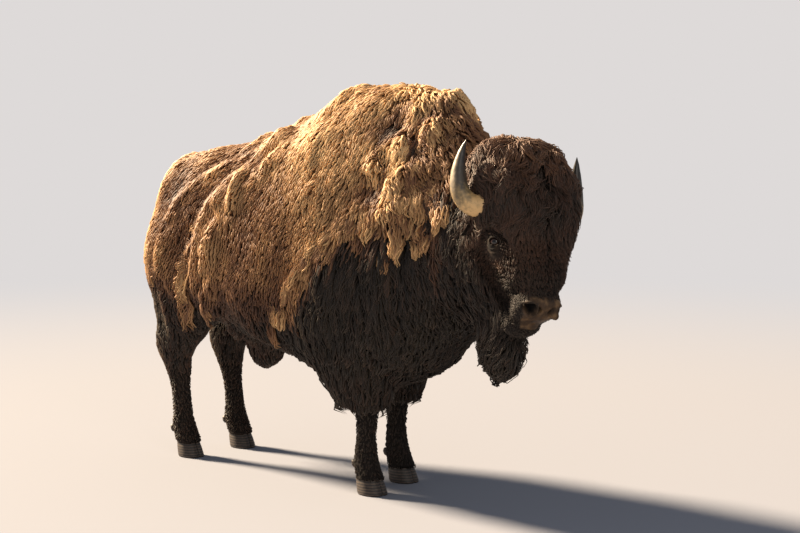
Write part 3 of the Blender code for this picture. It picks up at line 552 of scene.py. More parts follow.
# Eyelids, nostrils, mouth and folds, all in the head's frame and the same on both sides
faceShape = {
    "orbit": (0.078, 0.050, 0.062),       # half sizes of the mound that carries the eye
    "orbitInset": (0.0, 0.031, 0.012),    # how far its middle lies inside the eye's
    "lid": 0.0036,                        # lid's thickness over the eyeball
    "opening": (0.0245, 0.0160),          # half length and half height between the lids
    "slant": math.radians(46),            # the opening's own tilt against the face
    "eyeFacing": (0.30, 0.80, 0.52),
    "eyeDepth": 0.022,
    "lidRim": 0.0006,                     # how far the lids' edge stands out
    "folds": {"from": 0.033, "gap": 0.0125, "deep": 0.0016},    # wrinkles of skin round and below the lids
    "nostrilWing": (0.032, 0.020, 0.034),  # half sizes of the swelling that carries the nostril
    # straight sides of the nostril's outline: across towards the middle, down, and distance from its middle
    "nostrilSides": ((-1.0, 0.1, 0.0260), (0.0, 1.0, 0.0260), (0.96, 0.28, 0.0320), (0.34, -0.94, 0.0225)),
    "nostrilRound": 0.016,
    "nostrilDepth": 0.030,
    "nostrilRim": 0.0022,
    "mouth": ((0.30, -0.222), (0.40, -0.205), (0.50, -0.196), (0.56, -0.190)),
    "mouthDepth": 0.006,
    "lipGroove": 0.004,
    "bareEye": (0.235, 0.147, -0.101),    # middle of the bare skin round the eye
    "whorl": (0.305, 0.125, -0.125),      # pale hair under the eye
}


def apart(points, spot):
    return np.linalg.norm(points - spot, axis=1)


def ellipsoidDistance(offset, radii):
    # scaled length of the offset, as a distance of about the right size
    radii = np.array(radii)
    return (np.linalg.norm(offset / radii, axis=-1) - 1) * radii.min()


def eyeAxes():
    # the eye's own axes in the head's frame: along its opening, upwards across it, and outwards
    outward = unit(np.array(faceShape["eyeFacing"]))
    length = unit(np.cross(outward, [0.0, 0.0, 1.0]))
    rise = np.cross(length, outward)
    c, s = math.cos(faceShape["slant"]), math.sin(faceShape["slant"])
    return np.stack([c * length + s * rise, c * rise - s * length, outward])


def faceLocal(points):
    # head's frame with the sides folded together
    along, left, out = toLocal(headFrame, points)
    return np.stack([along, np.abs(left), out], axis=-1)


def shapeFace(points, flesh):
    # Swells the orbit, the eyeball under its lids and the nostril's wing, and presses in the mouth, the
    # groove of the upper lip and the folds round the eye
    place = faceLocal(points)
    eye, radius = np.array(facePlaces["eye"]), eyeRadius / headPose["scale"]
    orbit = ellipsoidDistance(place - (eye - faceShape["orbitInset"]), faceShape["orbit"])
    flesh = melt(flesh, orbit, 0.035)
    flesh = melt(flesh, apart(place, eye) - radius - faceShape["lid"], 0.016)
    wing = ellipsoidDistance(place - np.array(facePlaces["nostril"]), faceShape["nostrilWing"])
    flesh = melt(flesh, wing, 0.022)

    along, left, out = place.T
    lip = out - np.interp(along, *zip(*faceShape["mouth"]))
    flesh = flesh + faceShape["mouthDepth"] * smoothStep(0.30, 0.36, along) * np.exp(-(lip / 0.0075) ** 2)
    flesh = flesh + faceShape["lipGroove"] * smoothStep(0.50, 0.53, along) * np.exp(-(left / 0.008) ** 2)
    reach = apart(place, eye)
    rise = (place - eye) @ eyeAxes()[1]
    below = smoothStep(-0.2, 0.6, -rise / (reach + 1e-6))
    folds = np.sin((reach - faceShape["folds"]["from"]) / faceShape["folds"]["gap"] * 2 * math.pi)
    folds = folds * smoothStep(0.032, 0.037, reach) * fade(0.045, 0.068, reach)
    return flesh - faceShape["folds"]["deep"] * folds * (0.35 + 0.65 * below)


def bareNose(place):
    # 1 on the bare pad between and round the nostrils, 0 on the haired muzzle
    along, left, out = place.T
    pad = smoothStep(0.460, 0.474, along - 0.15 * (out + 0.10))
    return pad * fade(0.084, 0.096, left - 0.5 * np.minimum(out + 0.08, 0)) * fade(0.180, 0.195, -out)


def bareLids(place):
    return fade(0.030, 0.042, apart(place, faceShape["bareEye"]))


def openingDepths(place):
    # How far each place lies within the outline of the eye's opening and of the nostril, negative outside.
    # The opening is two arcs that meet in its corners; the nostril is four straight sides, rounded
    # together.
    length, rise, outward = ((place - facePlaces["eye"]) @ eyeAxes().T).T
    halfLength, halfHeight = faceShape["opening"]
    share = np.minimum(np.abs(length / halfLength), 1.6)
    upper = halfHeight * (1 - share ** 2.2)
    slope = halfHeight * 2.2 * share ** 1.2 / halfLength
    within = np.where(rise > 0, upper - rise, 0.80 * upper + rise) / np.sqrt(1 + slope ** 2)
    within = np.where(outward > 0, within, -1.0)

    axis, across, down = nostrilAxes
    shift = place - facePlaces["nostril"]
    right, under = shift @ across, shift @ down
    inside = None
    for x, y, reach in faceShape["nostrilSides"]:
        side = right * x + under * y - reach
        inside = side if inside is None else -melt(-inside, -side, faceShape["nostrilRound"])
    return within, np.where(np.abs(shift @ axis) < 0.05, -inside, -1.0)


def pressFace(points):
    # Presses the eye's opening and the nostril into the smooth head, each with a rounded rim. The nostril
    # goes in and up, so that its upper rim overhangs.
    within, inside = openingDepths(faceLocal(points))
    inwards = -eyeAxes()[2]
    move = (faceShape["eyeDepth"] * smoothStep(-0.0004, 0.0030, within))[:, None] * inwards
    move = move - (faceShape["lidRim"] * np.exp(-((within + 0.0028) / 0.0026) ** 2))[:, None] * inwards
    axis, _, down = nostrilAxes
    depth = faceShape["nostrilDepth"] * smoothStep(-0.001, 0.012, inside)
    rim = faceShape["nostrilRim"] * np.exp(-((inside + 0.005) / 0.005) ** 2)
    move = move - depth[:, None] * unit(0.9 * axis + 0.45 * down) + rim[:, None] * axis
    side = np.sign(toLocal(headFrame, points)[1])[:, None]
    return points + headPose["scale"] * (move * np.where([True, False, True], 1.0, side)) @ headFrame["axes"]


# Feet: how far the middle of a foot stands from the midline, and the depths of its cleft and of the hollow
# before the tendon down the back of the cannon
footShape = {
    "fore": 0.144, "hind": 0.165,
    "cleft": 0.010, "cleftHalf": 0.006,
    "tendon": 0.0045, "tendonHalf": 0.010,
}
midTrunk = -0.6                            # x that parts the forelegs from the hind legs


def footMiddle(x):
    return np.where(x > midTrunk, footShape["fore"], footShape["hind"])


def skinForm(points):
    flesh = fleshForm(points) - matHeight * readSpace(points, slice(12, 13))
    along, left, out = toLocal(headFrame, points)
    near = (along > 0.05) & (along < 0.68) & (np.abs(left) < 0.27) & (np.abs(out + 0.12) < 0.25)
    flesh[near] = shapeFace(points[near], flesh[near])
    low = points[:, 2] < 0.40
    x, y, z = points[low].T
    across = np.abs(np.abs(y) - footMiddle(x))
    cleft = footShape["cleft"] * np.exp(-(across / footShape["cleftHalf"]) ** 2) * fade(0.07, 0.13, z)
    step = np.where(y > 0, legSteps["foreLeft"], legSteps["foreRight"])
    back = np.where(x > midTrunk, x - 0.004 - step, x + 1.288)
    tendon = footShape["tendon"] * np.exp(-(back / footShape["tendonHalf"]) ** 2)
    tendon = tendon * smoothStep(0.17, 0.22, z) * fade(0.30, 0.37, z)
    flesh[low] += cleft + tendon * smoothStep(0.018, 0.030, across)
    return flesh


def linkPiece(name, mesh):
    item = bpy.data.objects.new(name, mesh)
    bpy.context.scene.collection.objects.link(item)
    return item


def linkMesh(name, points, faces):
    mesh = bpy.data.meshes.new(name)
    mesh.from_pydata((points + rowShift).tolist(), [], faces)
    mesh.update()
    mesh.polygons.foreach_set("use_smooth", np.ones(len(mesh.polygons), bool))
    item = linkPiece(name, mesh)
    bm = bmesh.new()
    bm.from_mesh(mesh)
    bmesh.ops.recalc_face_normals(bm, faces=bm.faces)
    bm.to_mesh(mesh)
    bm.free()
    return item


def addAttribute(item, name, values):
    attribute = item.data.attributes.new(name, "FLOAT", "POINT")
    attribute.data.foreach_set("value", np.asarray(values, np.float32))


def ringFaces(rows, columns):
    # quads between closed rings of corners, and one face over each end
    row, column = np.meshgrid(np.arange(rows - 1), np.arange(columns), indexing="ij")
    here, beside = row * columns + column, row * columns + (column + 1) % columns
    quads = np.stack([here, beside, beside + columns, here + columns], axis=-1).reshape(-1, 4)
    return quads.tolist() + [list(range(columns))[::-1], list(range((rows - 1) * columns, rows * columns))]


def ballPoints(rows, columns, gap):
    # rings of a unit ball, from near one pole to near the other
    polar = np.linspace(gap, math.pi - gap, rows)[:, None]
    angle = np.arange(columns) * 2 * math.pi / columns
    around = [np.sin(polar) * np.cos(angle), np.sin(polar) * np.sin(angle)]
    return polar, np.stack(around + [np.cos(polar) + 0 * angle], axis=-1)


def refine(bm, chosen):
    # one more cut of every edge whose two ends are chosen
    for vertex, mine in zip(bm.verts, chosen):
        vertex.tag = bool(mine)
    edges = [edge for edge in bm.edges if edge.verts[0].tag and edge.verts[1].tag]
    bmesh.ops.subdivide_edges(bm, edges=edges, cuts=1, use_grid_fill=True)


def refineRounds(points, quads):
    # The head and the feet at half the step, the muzzle, the eyes and the claws at a quarter, the eyes and
    # the nostrils at an eighth, and the lids at a sixteenth
    bm = bmesh.new()
    net = bpy.data.meshes.new("net")
    net.from_pydata(points.tolist(), [], quads.tolist())
    bm.from_mesh(net)
    eye = facePlaces["eye"] + 0.028 * eyeAxes()[2]
    for level in range(4):
        spots = np.array([vertex.co for vertex in bm.verts])
        place = faceLocal(spots)
        toEye, low = apart(place, eye), spots[:, 2]
        if level == 0:
            chosen = (apart(place, [0.33, 0, -0.10]) < 0.27) | (low < 0.28)
        elif level == 1:
            chosen = (toEye < 0.065) | (apart(place, [0.50, 0.04, -0.14]) < 0.115) | (low < 0.085)
        elif level == 2:
            chosen = (toEye < 0.045) | (apart(place, facePlaces["nostril"]) < 0.054)
        else:
            chosen = toEye < 0.031
        refine(bm, chosen)
    bm.to_mesh(net)
    bm.free()
    points = np.empty(len(net.vertices) * 3)
    net.vertices.foreach_get("co", points)
    faces = [list(polygon.vertices) for polygon in net.polygons]
    bpy.data.meshes.remove(net)
    return points.reshape(-1, 3), faces


earShape = {
    "length": 0.115, "width": 0.034, "thick": 0.0035, "cup": 0.012, "inset": 0.02,
    "rows": 16, "round": 20,
}


def earPoints(side):
    # A cupped leaf: its width swells and narrows from root to tip, and its rim stands forwards of its middle
    alongAxis = unit(np.array(facePlaces["earAlong"]))
    opens = np.array(facePlaces["earOpens"])
    face = unit(opens - alongAxis * (opens @ alongAxis))
    across = np.cross(alongAxis, face)
    part = np.linspace(0, 1, earShape["rows"])[:, None]
    angle = np.arange(earShape["round"]) * 2 * math.pi / earShape["round"]
    swell = 0.45 + 0.55 * np.sin(math.pi * np.minimum(part * 1.1, 1) ** 0.8)
    wide = earShape["width"] * swell * (1 - 0.72 * part ** 4) * np.sqrt(1 - 0.96 * part ** 8)
    cosine, sine = np.cos(angle), np.sin(angle)
    depth = earShape["cup"] * cosine ** 2 * (1 - part * 0.4) + earShape["thick"] * sine * (1.3 - part)
    reach = (earShape["length"] * part - earShape["inset"])[..., None]
    middle = np.array(facePlaces["earRoot"]) + alongAxis * reach
    local = middle + across * (wide * cosine)[..., None] + face * depth[..., None]
    return headPoint(local.reshape(-1, 3), side)


tailShape = {
    "top": 1.34, "liesTo": 0.86, "end": 0.72, "switchEnd": 0.50,     # heights
    "off": 0.008, "sunk": 0.035,                                     # off the rump, and into it at the top
    "root": 0.016, "tip": 0.009,                                     # the stem's radii
    "rows": 24, "round": 12,
}


def rumpLine(heights):
    # the rump's hindmost place on the midline at each height
    x = np.linspace(-1.7, -1.2, 400)
    rear = []
    for height in heights:
        rear.append(x[np.argmax(outlineForm(np.stack([x, 0 * x, 0 * x + height], axis=-1)) < 0)])
    return np.array(rear)


def tailLine(count):
    # down the rump as far as it lies, then hanging straight
    heights = np.linspace(tailShape["top"], tailShape["liesTo"], 9)
    rear = rumpLine(heights) - tailShape["off"]
    rear[0] += tailShape["sunk"]
    z = np.append(heights, [(tailShape["liesTo"] + tailShape["end"]) / 2, tailShape["end"]])
    x = np.append(rear, [rear[-1] - 0.004, rear[-1]])
    fine = np.linspace(z[0], z[-1], count)
    return np.stack([np.interp(-fine, -z, x), 0 * fine, fine], axis=-1)


def tubePoints(line, radii, count, across=(0.0, 1.0, 0.0)):
    # circles of the given radii square to a line
    heading = unit(np.gradient(line, axis=0))
    side = unit(np.array(across) - heading * (heading @ np.array(across))[:, None])
    up = np.cross(heading, side)
    angle = np.arange(count) * 2 * math.pi / count
    circle = np.cos(angle)[None, :, None] * side[:, None] + np.sin(angle)[None, :, None] * up[:, None]
    return line[:, None] + np.asarray(radii)[:, None, None] * circle


def relax(points, faces, chosen, rounds):
    # Evens out the net: the chosen corners move towards the middle of their neighbours and back on to the
    # skin
    loops = np.concatenate(faces)
    nexts = np.concatenate([face[1:] + face[:1] for face in faces])
    here, there = np.concatenate([loops, nexts]), np.concatenate([nexts, loops])
    count = np.bincount(here, minlength=len(points))[:, None]
    for _ in range(rounds):
        total = np.stack([np.bincount(here, points[there, k], len(points)) for k in range(3)], axis=-1)
        points[chosen] += 0.7 * (total / count - points)[chosen]
        points[chosen] = settle(skinForm, points[chosen], 2, 0.004)
    return points


def makeSkin():
    # One skin over trunk, legs and head, with the ears and the tail's stem joined in. It also gives the net
    # before its openings are pressed in, where the coat's roots are sown.
    points, quads = surfaceNets(spaceFields[..., 0], np.array(space["low"]), space["step"])
    points, faces = refineRounds(points, quads)
    points = settle(skinForm, points, 3)
    place = faceLocal(points)
    along, _, out = place.T
    muzzle = (along > 0.42) & (along < 0.7) & (np.abs(out + 0.14) < 0.16)
    toFeature = np.minimum(apart(place, facePlaces["eye"]), apart(place, facePlaces["nostril"]))
    points = relax(points, faces, (toFeature < 0.075) | muzzle, 6)
    place = faceLocal(points)
    within, inside = openingDepths(place)
    # painted shade: nearly black inside the eye's opening and the nostril; the bare lids are their own dark
    # skin
    deep = np.maximum(smoothStep(0.0, 0.003, within), smoothStep(0.001, 0.009, inside))
    deep = np.maximum(deep, 0.94 * bareLids(place))
    parts = [(pressFace(points), faces)]
    for side in sides.values():
        parts.append((earPoints(side), ringFaces(earShape["rows"], earShape["round"])))
    rows, columns = tailShape["rows"], tailShape["round"]
    stem = tubePoints(tailLine(rows), np.linspace(tailShape["root"], tailShape["tip"], rows), columns)
    parts.append((stem.reshape(-1, 3), ringFaces(rows, columns)))
    everyFace, offset = [], 0
    for partPoints, partFaces in parts:
        everyFace += [[index + offset for index in face] for face in partFaces]
        offset += len(partPoints)
    everyPoint = np.concatenate([partPoints for partPoints, _ in parts])
    skin = linkMesh("skin", everyPoint, everyFace)
    addAttribute(skin, "deep", np.append(deep, np.zeros(len(everyPoint) - len(deep))))
    return skin, everyPoint, (points, faces)
# Where the coat's colours lie, side view: heights of the cape's lower edge against x
capeEdge = ((-0.60, 0.50), (-0.42, 0.62), (-0.28, 0.80), (-0.10, 1.02), (0.05, 1.15), (0.25, 1.23),
            (0.42, 1.29), (0.60, 1.36))
# Tone of the wool in each place, from 0, brown-black, to 1, straw gold
woolTone = {
    "wool": 0.66, "under": 0.035, "hump": 0.56, "neck": 0.045, "hindLeg": 0.13, "foreleg": 0.09,
    "shed": 0.46, "jaw": 0.06,
}
# What the tone gains or loses in some of them. The rump's gain is painted light, the flank's patch is a
# painted shadow, the gain on the rolls and the loss in the hollows are painted highlight and shade, and
# the clumps and the top of the brow are partly painted light.
toneChange = {
    "back": 0.12, "cape": 0.06, "belly": -0.50, "rump": 0.30, "flankPatch": -0.18, "roll": 0.10,
    "hollow": 0.38, "collar": 0.06, "clumps": 0.32, "browTop": 0.10, "whorl": 0.28,
}
# Tone down the face from the poll to the nose
faceTone = ((-0.22, 0.38), (-0.08, 0.23), (0.06, 0.13), (0.20, 0.15), (0.30, 0.21), (0.42, 0.10),
            (0.48, 0.05))


def readTable(table, place):
    return np.interp(place, *zip(*table))


def headMask(points):
    # 1 on the head and 0 on the neck
    reach = None
    for loft, place, _, depth in bodyParts:
        if depth in ("skull", "jaw", "bonnet", "beard", "cheek"):
            own = place["scale"] * loftDistance(loft, *toLocal(place, points))
            reach = own if reach is None else np.minimum(reach, own)
    muzzle = smoothStep(0.36, 0.44, faceLocal(points)[:, 0])
    return fade(0.0, 0.04, reach - 0.05 * muzzle)


def coatTone(points, onHead):
    # One colour scale for skin and coat. Each line lightens or darkens the wool, or sets a tone of its own.
    x, _, z = points.T
    broad, fine = wander(points * [1, 1, 0.5], 0.13, 5), wander(points, 0.04, 6)
    relief = matRelief(points)
    tone = woolTone["wool"] + 0.08 * broad + 0.06 * fine
    tone = tone + toneChange["back"] * smoothStep(1.25, 1.55, z) * fade(0.30, 0.42, x)
    tone = tone + toneChange["cape"] * smoothStep(-0.36, -0.22, x) * fade(0.30, 0.42, x)
    tone = tone + toneChange["belly"] * fade(0.66, 1.02, z) * (x < -0.3)
    # painted light: the rear of the rump, which faces the sun, is made lighter
    tone = tone + toneChange["rump"] * fade(-1.38, -1.24, x) * smoothStep(0.8, 1.0, z)
    # painted shadow that the flank's mat casts behind its edge
    tone = tone + toneChange["flankPatch"] * np.exp(-((x + 1.10) / 0.13) ** 2 - ((z - 1.28) / 0.13) ** 2)
    # painted light on the mats: a painted highlight on their rolled edges, painted shade in the hollows
    # beside them
    tone = tone + toneChange["roll"] * np.maximum(relief, 0) + toneChange["hollow"] * np.minimum(relief, 0)
    # the collar's clumps follow the mats' lumps: partly pale shed wool on their tops, partly painted light on
    # the tops and painted shade between them
    clumps = toneChange["clumps"] * wander(points * [1, 1, 0.7], matSizes["lump"], 42)
    tone = tone + smoothStep(0.06, 0.22, x) * smoothStep(1.12, 1.25, z) * (toneChange["collar"] + clumps)
    edge = readTable(capeEdge, x) + 0.05 * broad + 0.05 * fine
    under = fade(edge - 0.05, edge + 0.05, z) * smoothStep(-0.52, -0.40, x)
    tone = blend(tone, woolTone["under"] + 0.04 * fine, under)
    hump = smoothStep(0.40, 0.47, x + 0.04 * broad) * smoothStep(1.35, 1.50, z)
    tone = blend(tone, woolTone["hump"] + 0.08 * fine, hump)
    neck = smoothStep(0.42, 0.54, x + 0.03 * fine) * fade(1.30, 1.45, z)
    tone = blend(tone, woolTone["neck"] + 0.04 * fine, neck)
    streaks = smoothStep(0.0, 0.5, wander(points * [1, 1, 0.22], 0.045, 8)) * smoothStep(0.28, 0.36, x)
    streaks = streaks * fade(0.50, 0.60, x) * smoothStep(0.95, 1.15, z)
    tone = blend(tone, woolTone["shed"], 0.75 * streaks)
    hindLeg = fade(0.42, 0.92, z + 0.22 * smoothStep(-1.25, -1.45, x)) * (x < midTrunk)
    tone = blend(tone, woolTone["hindLeg"] + 0.04 * fine, hindLeg)
    tone = blend(tone, woolTone["foreleg"] + 0.04 * fine, fade(0.50, 0.80, z) * (x > midTrunk))

    place = faceLocal(points)
    along, _, out = place.T
    # lighter on top of the crown: partly its reddish hair, partly painted rim light from the sun behind
    browTop = smoothStep(-0.06, 0.08, out) * fade(-0.12, 0.02, along)
    whorl = np.exp(-(apart(place, faceShape["whorl"]) / 0.022) ** 2)
    face = readTable(faceTone, along) + toneChange["browTop"] * browTop + 0.04 * fine + 0.04 * broad
    face = face + toneChange["whorl"] * whorl
    face = blend(face, woolTone["jaw"], smoothStep(0.20, 0.27, -out))
    return np.clip(blend(tone, face, onHead), 0.02, 1)


# How far the lie of the trunk's coat leans back for each part that it falls, against x
leanBack = ((-1.3, -0.65), (-0.9, -0.45), (-0.5, -0.35), (0.0, -0.35), (0.25, 0.10), (0.45, 0.35))


def coatFlow(points, onHead):
    # The lie of the coat, before it is laid along the surface: back and down the trunk, forwards and down
    # over the front of the hump, down the legs, down the face from the crown, and away from the eyes
    x, _, z = points.T
    flow = np.stack([readTable(leanBack, x) * smoothStep(0.5, 1.2, z), 0 * x, 0 * x - 1], axis=-1)
    ahead, leftward, out = headFrame["axes"]
    place = faceLocal(points)
    left = leftward * np.sign(toLocal(headFrame, points)[1])[:, None]
    crown = fade(-0.06, 0.12, place[:, 0])[:, None]
    lip = smoothStep(0.42, 0.50, place[:, 0])[:, None]
    face = ahead * (0.9 - 0.8 * lip) + np.array([0, 0, -0.35]) + crown * (0.4 * out + 0.5 * left)
    face = face + 0.30 * left * (1 - crown) * (1 - lip) - 0.7 * out * lip
    flow = blend(flow, face, onHead[:, None])
    fromEye = unit(place - facePlaces["eye"])
    away = fromEye[:, :1] * ahead + fromEye[:, 1:2] * left + fromEye[:, 2:] * out
    near = fade(0.05, 0.10, apart(place, facePlaces["eye"]))[:, None]
    return unit(blend(unit(flow), away, near))


# Lengths of the coat: of the trunk against x, of the head along the face, and of what hangs. Then the
# widths of a lock and the gaps between roots, both against its length.
lockLengths = {
    "trunk": ((-1.5, 0.048), (-1.0, 0.054), (-0.4, 0.060), (0.1, 0.064), (0.5, 0.068)),
    "face": ((-0.1, 0.105), (0.10, 0.100), (0.20, 0.065), (0.28, 0.034), (0.40, 0.020), (0.50, 0.012)),
    "hanging": 0.15,
    "shank": 0.022,
    "eye": 0.011,
}
lockWidths = {
    "trunk": ((0.02, 0.0065), (0.04, 0.0120), (0.15, 0.0105)),
    "head": ((0.012, 0.0040), (0.03, 0.0055), (0.10, 0.0068), (0.16, 0.0085)),
}
rootGaps = {
    "trunk": ((0.02, 0.0094), (0.035, 0.0132), (0.06, 0.0136), (0.15, 0.0138)),
    "head": ((0.012, 0.0050), (0.025, 0.0062), (0.10, 0.0074), (0.15, 0.0110)),
    "wider": 1.02,
}


def coatStyle(points):
    # Everything that a lock takes from the place of its root
    x, _, z = points.T
    onHead = headMask(points)
    place = faceLocal(points)
    along, _, out = place.T
    edge = readTable(capeEdge, x)
    hanging = fade(edge - 0.10, edge + 0.02, z) * smoothStep(-0.50, -0.30, x)
    hanging = np.maximum(hanging, smoothStep(0.42, 0.56, x) * fade(1.25, 1.45, z))
    length = blend(readTable(lockLengths["trunk"], x), lockLengths["hanging"], hanging)
    length = blend(length, lockLengths["shank"], fade(0.38, 0.48, z))
    faceLength = readTable(lockLengths["face"], along)
    faceLength = faceLength * (1 - 0.5 * smoothStep(0.06, 0.16, -out) * smoothStep(0.12, 0.20, along))
    beard = smoothStep(0.22, 0.27, -out) * smoothStep(0.14, 0.24, along) * fade(0.46, 0.52, along)
    beard = np.maximum(beard, smoothStep(0.27, 0.32, -out) * smoothStep(0.14, 0.24, along))
    faceLength = blend(faceLength, lockLengths["hanging"], beard)
    length = blend(length, faceLength, onHead)
    nearEye = fade(0.048, 0.100, apart(place, faceShape["bareEye"])) * onHead
    length = blend(length, lockLengths["eye"], nearEye)
    rows = (1 - onHead) * fade(0.08, 0.22, x) * (1 - hanging) * smoothStep(0.70, 0.85, z)
    widths = {name: readTable(table, length) for name, table in lockWidths.items()}
    return {
        "onHead": onHead,
        "place": place,
        "length": length,
        "width": np.where(onHead > 0.5, widths["head"], widths["trunk"]),
        "long": np.maximum(hanging * (1 - onHead), beard * onHead),    # hair that hangs
        "beard": beard * onHead,
        "rows": rows,                                                  # wool that lies in rows
        "bound": 1 - 0.85 * rows,                                      # how strictly it ends at the outline
        "tone": coatTone(points, onHead),
        "stray": 0.10 + 0.35 * onHead,                                 # how far some locks stand out
        "lift": 0 * x,
    }


def rootDensity(points, style):
    # roots for each square metre; none on bare skin, in the openings or below the coronets
    gaps = {name: readTable(rootGaps[name], style["length"]) for name in ("trunk", "head")}
    gap = rootGaps["wider"] * np.where(style["onHead"] > 0.5, gaps["head"], gaps["trunk"])
    place = style["place"]
    within, inside = openingDepths(place)
    bare = (within > -0.006) | (inside > -0.004) | (apart(place, faceShape["bareEye"]) < 0.034)
    return (1 - np.maximum(bareNose(place), bare)) * (points[:, 2] > 0.072) / gap ** 2


def sowRoots(points, triangles, rng):
    # Roots spread evenly over the skin by its area and the coat's density
    corners = points[triangles]
    cross = np.cross(corners[:, 1] - corners[:, 0], corners[:, 2] - corners[:, 0])
    area = np.linalg.norm(cross, axis=1) / 2
    middle = corners.mean(axis=1)
    density = rootDensity(middle, coatStyle(middle))
    order = np.lexsort((middle[:, 1], np.floor(middle[:, 0] / 0.05), np.floor(middle[:, 2] / 0.05)))
    total = np.cumsum((area * density)[order])
    count = int(total[-1])
    picks = (np.arange(count) + rng.random(count)) / count * total[-1]
    chosen = order[np.minimum(np.searchsorted(total, picks), len(order) - 1)]
    a, b = rng.random(count), rng.random(count)
    flip = a + b > 1
    a, b = np.where(flip, 1 - a, a), np.where(flip, 1 - b, b)
    base = corners[chosen]
    roots = base[:, 0] + a[:, None] * (base[:, 1] - base[:, 0]) + b[:, None] * (base[:, 2] - base[:, 0])
    return roots, unit(cross[chosen])


# How locks are combed: the gap between rows of wool, how far hanging hair may pass the outline, and how the
# hem of the chest frays between two heights
combing = {
    "rowGap": 0.0115,
    "margin": (-0.045, 0.080),
    "hem": 0.045,
    "hemHeights": (0.58, 0.74),
}


def intoRows(position, up, value, slope, share):
    # moves points sideways towards the nearest row of wool
    slope = slope - up * (slope * up).sum(axis=1)[:, None]
    steep = (slope ** 2).sum(axis=1) + 1e-6
    miss = value - np.round(value / combing["rowGap"]) * combing["rowGap"]
    return position - slope * (miss / steep * share)[:, None]


def comb(roots, normals, style, stops, rng):
    # Carries every lock from its root to its tip through the given shares of its length. Each step follows
    # the lie of the coat laid along the surface, and climbs towards the lock's own layer between the skin,
    # 0, and the outline, 1.
    count = len(roots)
    layer = 1.02 - (0.45 - 0.22 * style["rows"]) * rng.random(count) ** 1.3
    layer = layer + style["stray"] * (rng.random(count) < 0.12) + style["lift"]
    length = style["length"] * (0.8 + 0.4 * rng.random(count))
    loose = rng.random(count)
    least, spread = combing["margin"]
    hem = combing["hem"] * fade(*combing["hemHeights"], roots[:, 2])
    margin = (spread * loose + least + hem * (loose - 0.3)) * style["long"]
    swirl = 0.45 * wander(roots, 0.16, 12) + 0.25 * wander(roots, 0.05, 13)
    swirl = swirl + 0.16 * rng.standard_normal(count)
    swirl = swirl * (1 - 0.3 * style["long"]) * (1 - 0.75 * style["rows"])
    mop = style["onHead"] * (1 - style["beard"]) * smoothStep(0.03, 0.09, style["length"])
    curl = (0.35 * rng.standard_normal(count) + 1.6 * wander(roots, 0.045, 14)) * mop
    position = roots - 0.002 * normals
    *_, value, slope = readSpace(position)
    position = intoRows(position, normals, value, slope, 0.9 * style["rows"])
    path, ups = [position], []
    for before, t in zip((0, *stops), stops):
        stride = length * (t - before)
        toSkin, skinSlope, toOutline, outlineSlope, value, slope = readSpace(position)
        depth = np.maximum(toSkin - toOutline, 0.004)
        height = toSkin / depth
        up = unit(blend(unit(skinSlope), unit(outlineSlope), np.clip(height, 0, 1)[:, None]))
        flow = coatFlow(position, style["onHead"])
        row = unit(np.cross(slope, up))
        row = row * np.sign((row * flow).sum(axis=1))[:, None]
        flow = flow - up * ((flow * up).sum(axis=1) * (1 - 0.75 * style["long"]))[:, None]
        lie = unit(blend(unit(flow), row, style["rows"][:, None]))
        angle = (swirl + curl * t)[:, None]
        lie = lie * np.cos(angle) + np.cross(up, lie) * np.sin(angle)
        want = layer * (1 - (1 - t) ** 2.6)
        climb = np.clip((want - height) * depth / stride, -0.9, 1.6)
        heading = unit(lie + climb[:, None] * up)
        leaving = smoothStep(0.1, 0.5, (heading * unit(outlineSlope)).sum(axis=1))
        leaving = leaving * smoothStep(-0.004, 0.012, toOutline - margin)
        position = position + heading * (stride * (1 - 0.92 * leaving * style["bound"]))[:, None]
        position = intoRows(position, up, value, slope, 0.50 * style["rows"])
        path.append(position)
        ups.append(up)
    ups.append(up)
    return np.stack(path, axis=1), np.stack(ups, axis=1)


def gather(paths, key, stops, strength):
    # Draws the locks of one clump, those with the same key, together towards their tips
    _, group = np.unique(key, axis=0, return_inverse=True)
    group = group.ravel()
    count = np.bincount(group)
    for axis in range(3):
        for step, t in enumerate(stops, 1):
            mean = np.bincount(group, paths[:, step, axis]) / count
            paths[:, step, axis] += (mean[group] - paths[:, step, axis]) * strength * t ** 1.5
    return paths


# Waves of the locks against their length, and the crimp that the rows of wool share
waves = {
    "length": ((0.02, 0.026), (0.05, 0.034), (0.15, 0.070)),
    "swing": ((0.02, 0.0004), (0.04, 0.0030), (0.15, 0.0080)),
    "rowWave": 0.034,
}


def crimp(paths, ups, style, stops, rng):
    # Waves across each lock, in step with its neighbours so that they run in rows
    t = np.array((0, *stops))[None, :]
    side = np.cross(ups, unit(np.gradient(paths, axis=1)))
    wave = readTable(waves["length"], style["length"])
    size = (readTable(waves["swing"], style["length"]) * (1 - 0.3 * style["rows"]))[:, None]
    phase = wander(paths[:, 0], 0.05, 21) * 3.0 + 0.6 * rng.standard_normal(len(paths))
    angle = 2 * math.pi * (t * (style["length"] / wave)[:, None]) + phase[:, None]
    swing = (np.sin(angle) - np.sin(phase)[:, None]) * size * np.minimum(t * 2.5, 1)
    # in the rows the waves are a field of their own, so that they carry on from lock to lock
    flat = paths.reshape(-1, 3)
    field = (flat @ [-0.8, 0, -1]) / waves["rowWave"] * 2 * math.pi + 2.5 * wander(flat, 0.07, 22)
    swing = np.where(style["rows"][:, None] > 0.5, np.sin(field).reshape(swing.shape) * size, swing)
    lift = np.cos(angle * 0.5 + 1.3) * size * 0.35 * t
    return paths + side * swing[..., None] + ups * lift[..., None]


patchSize = 0.003                                     # each lock's patch on the bake map


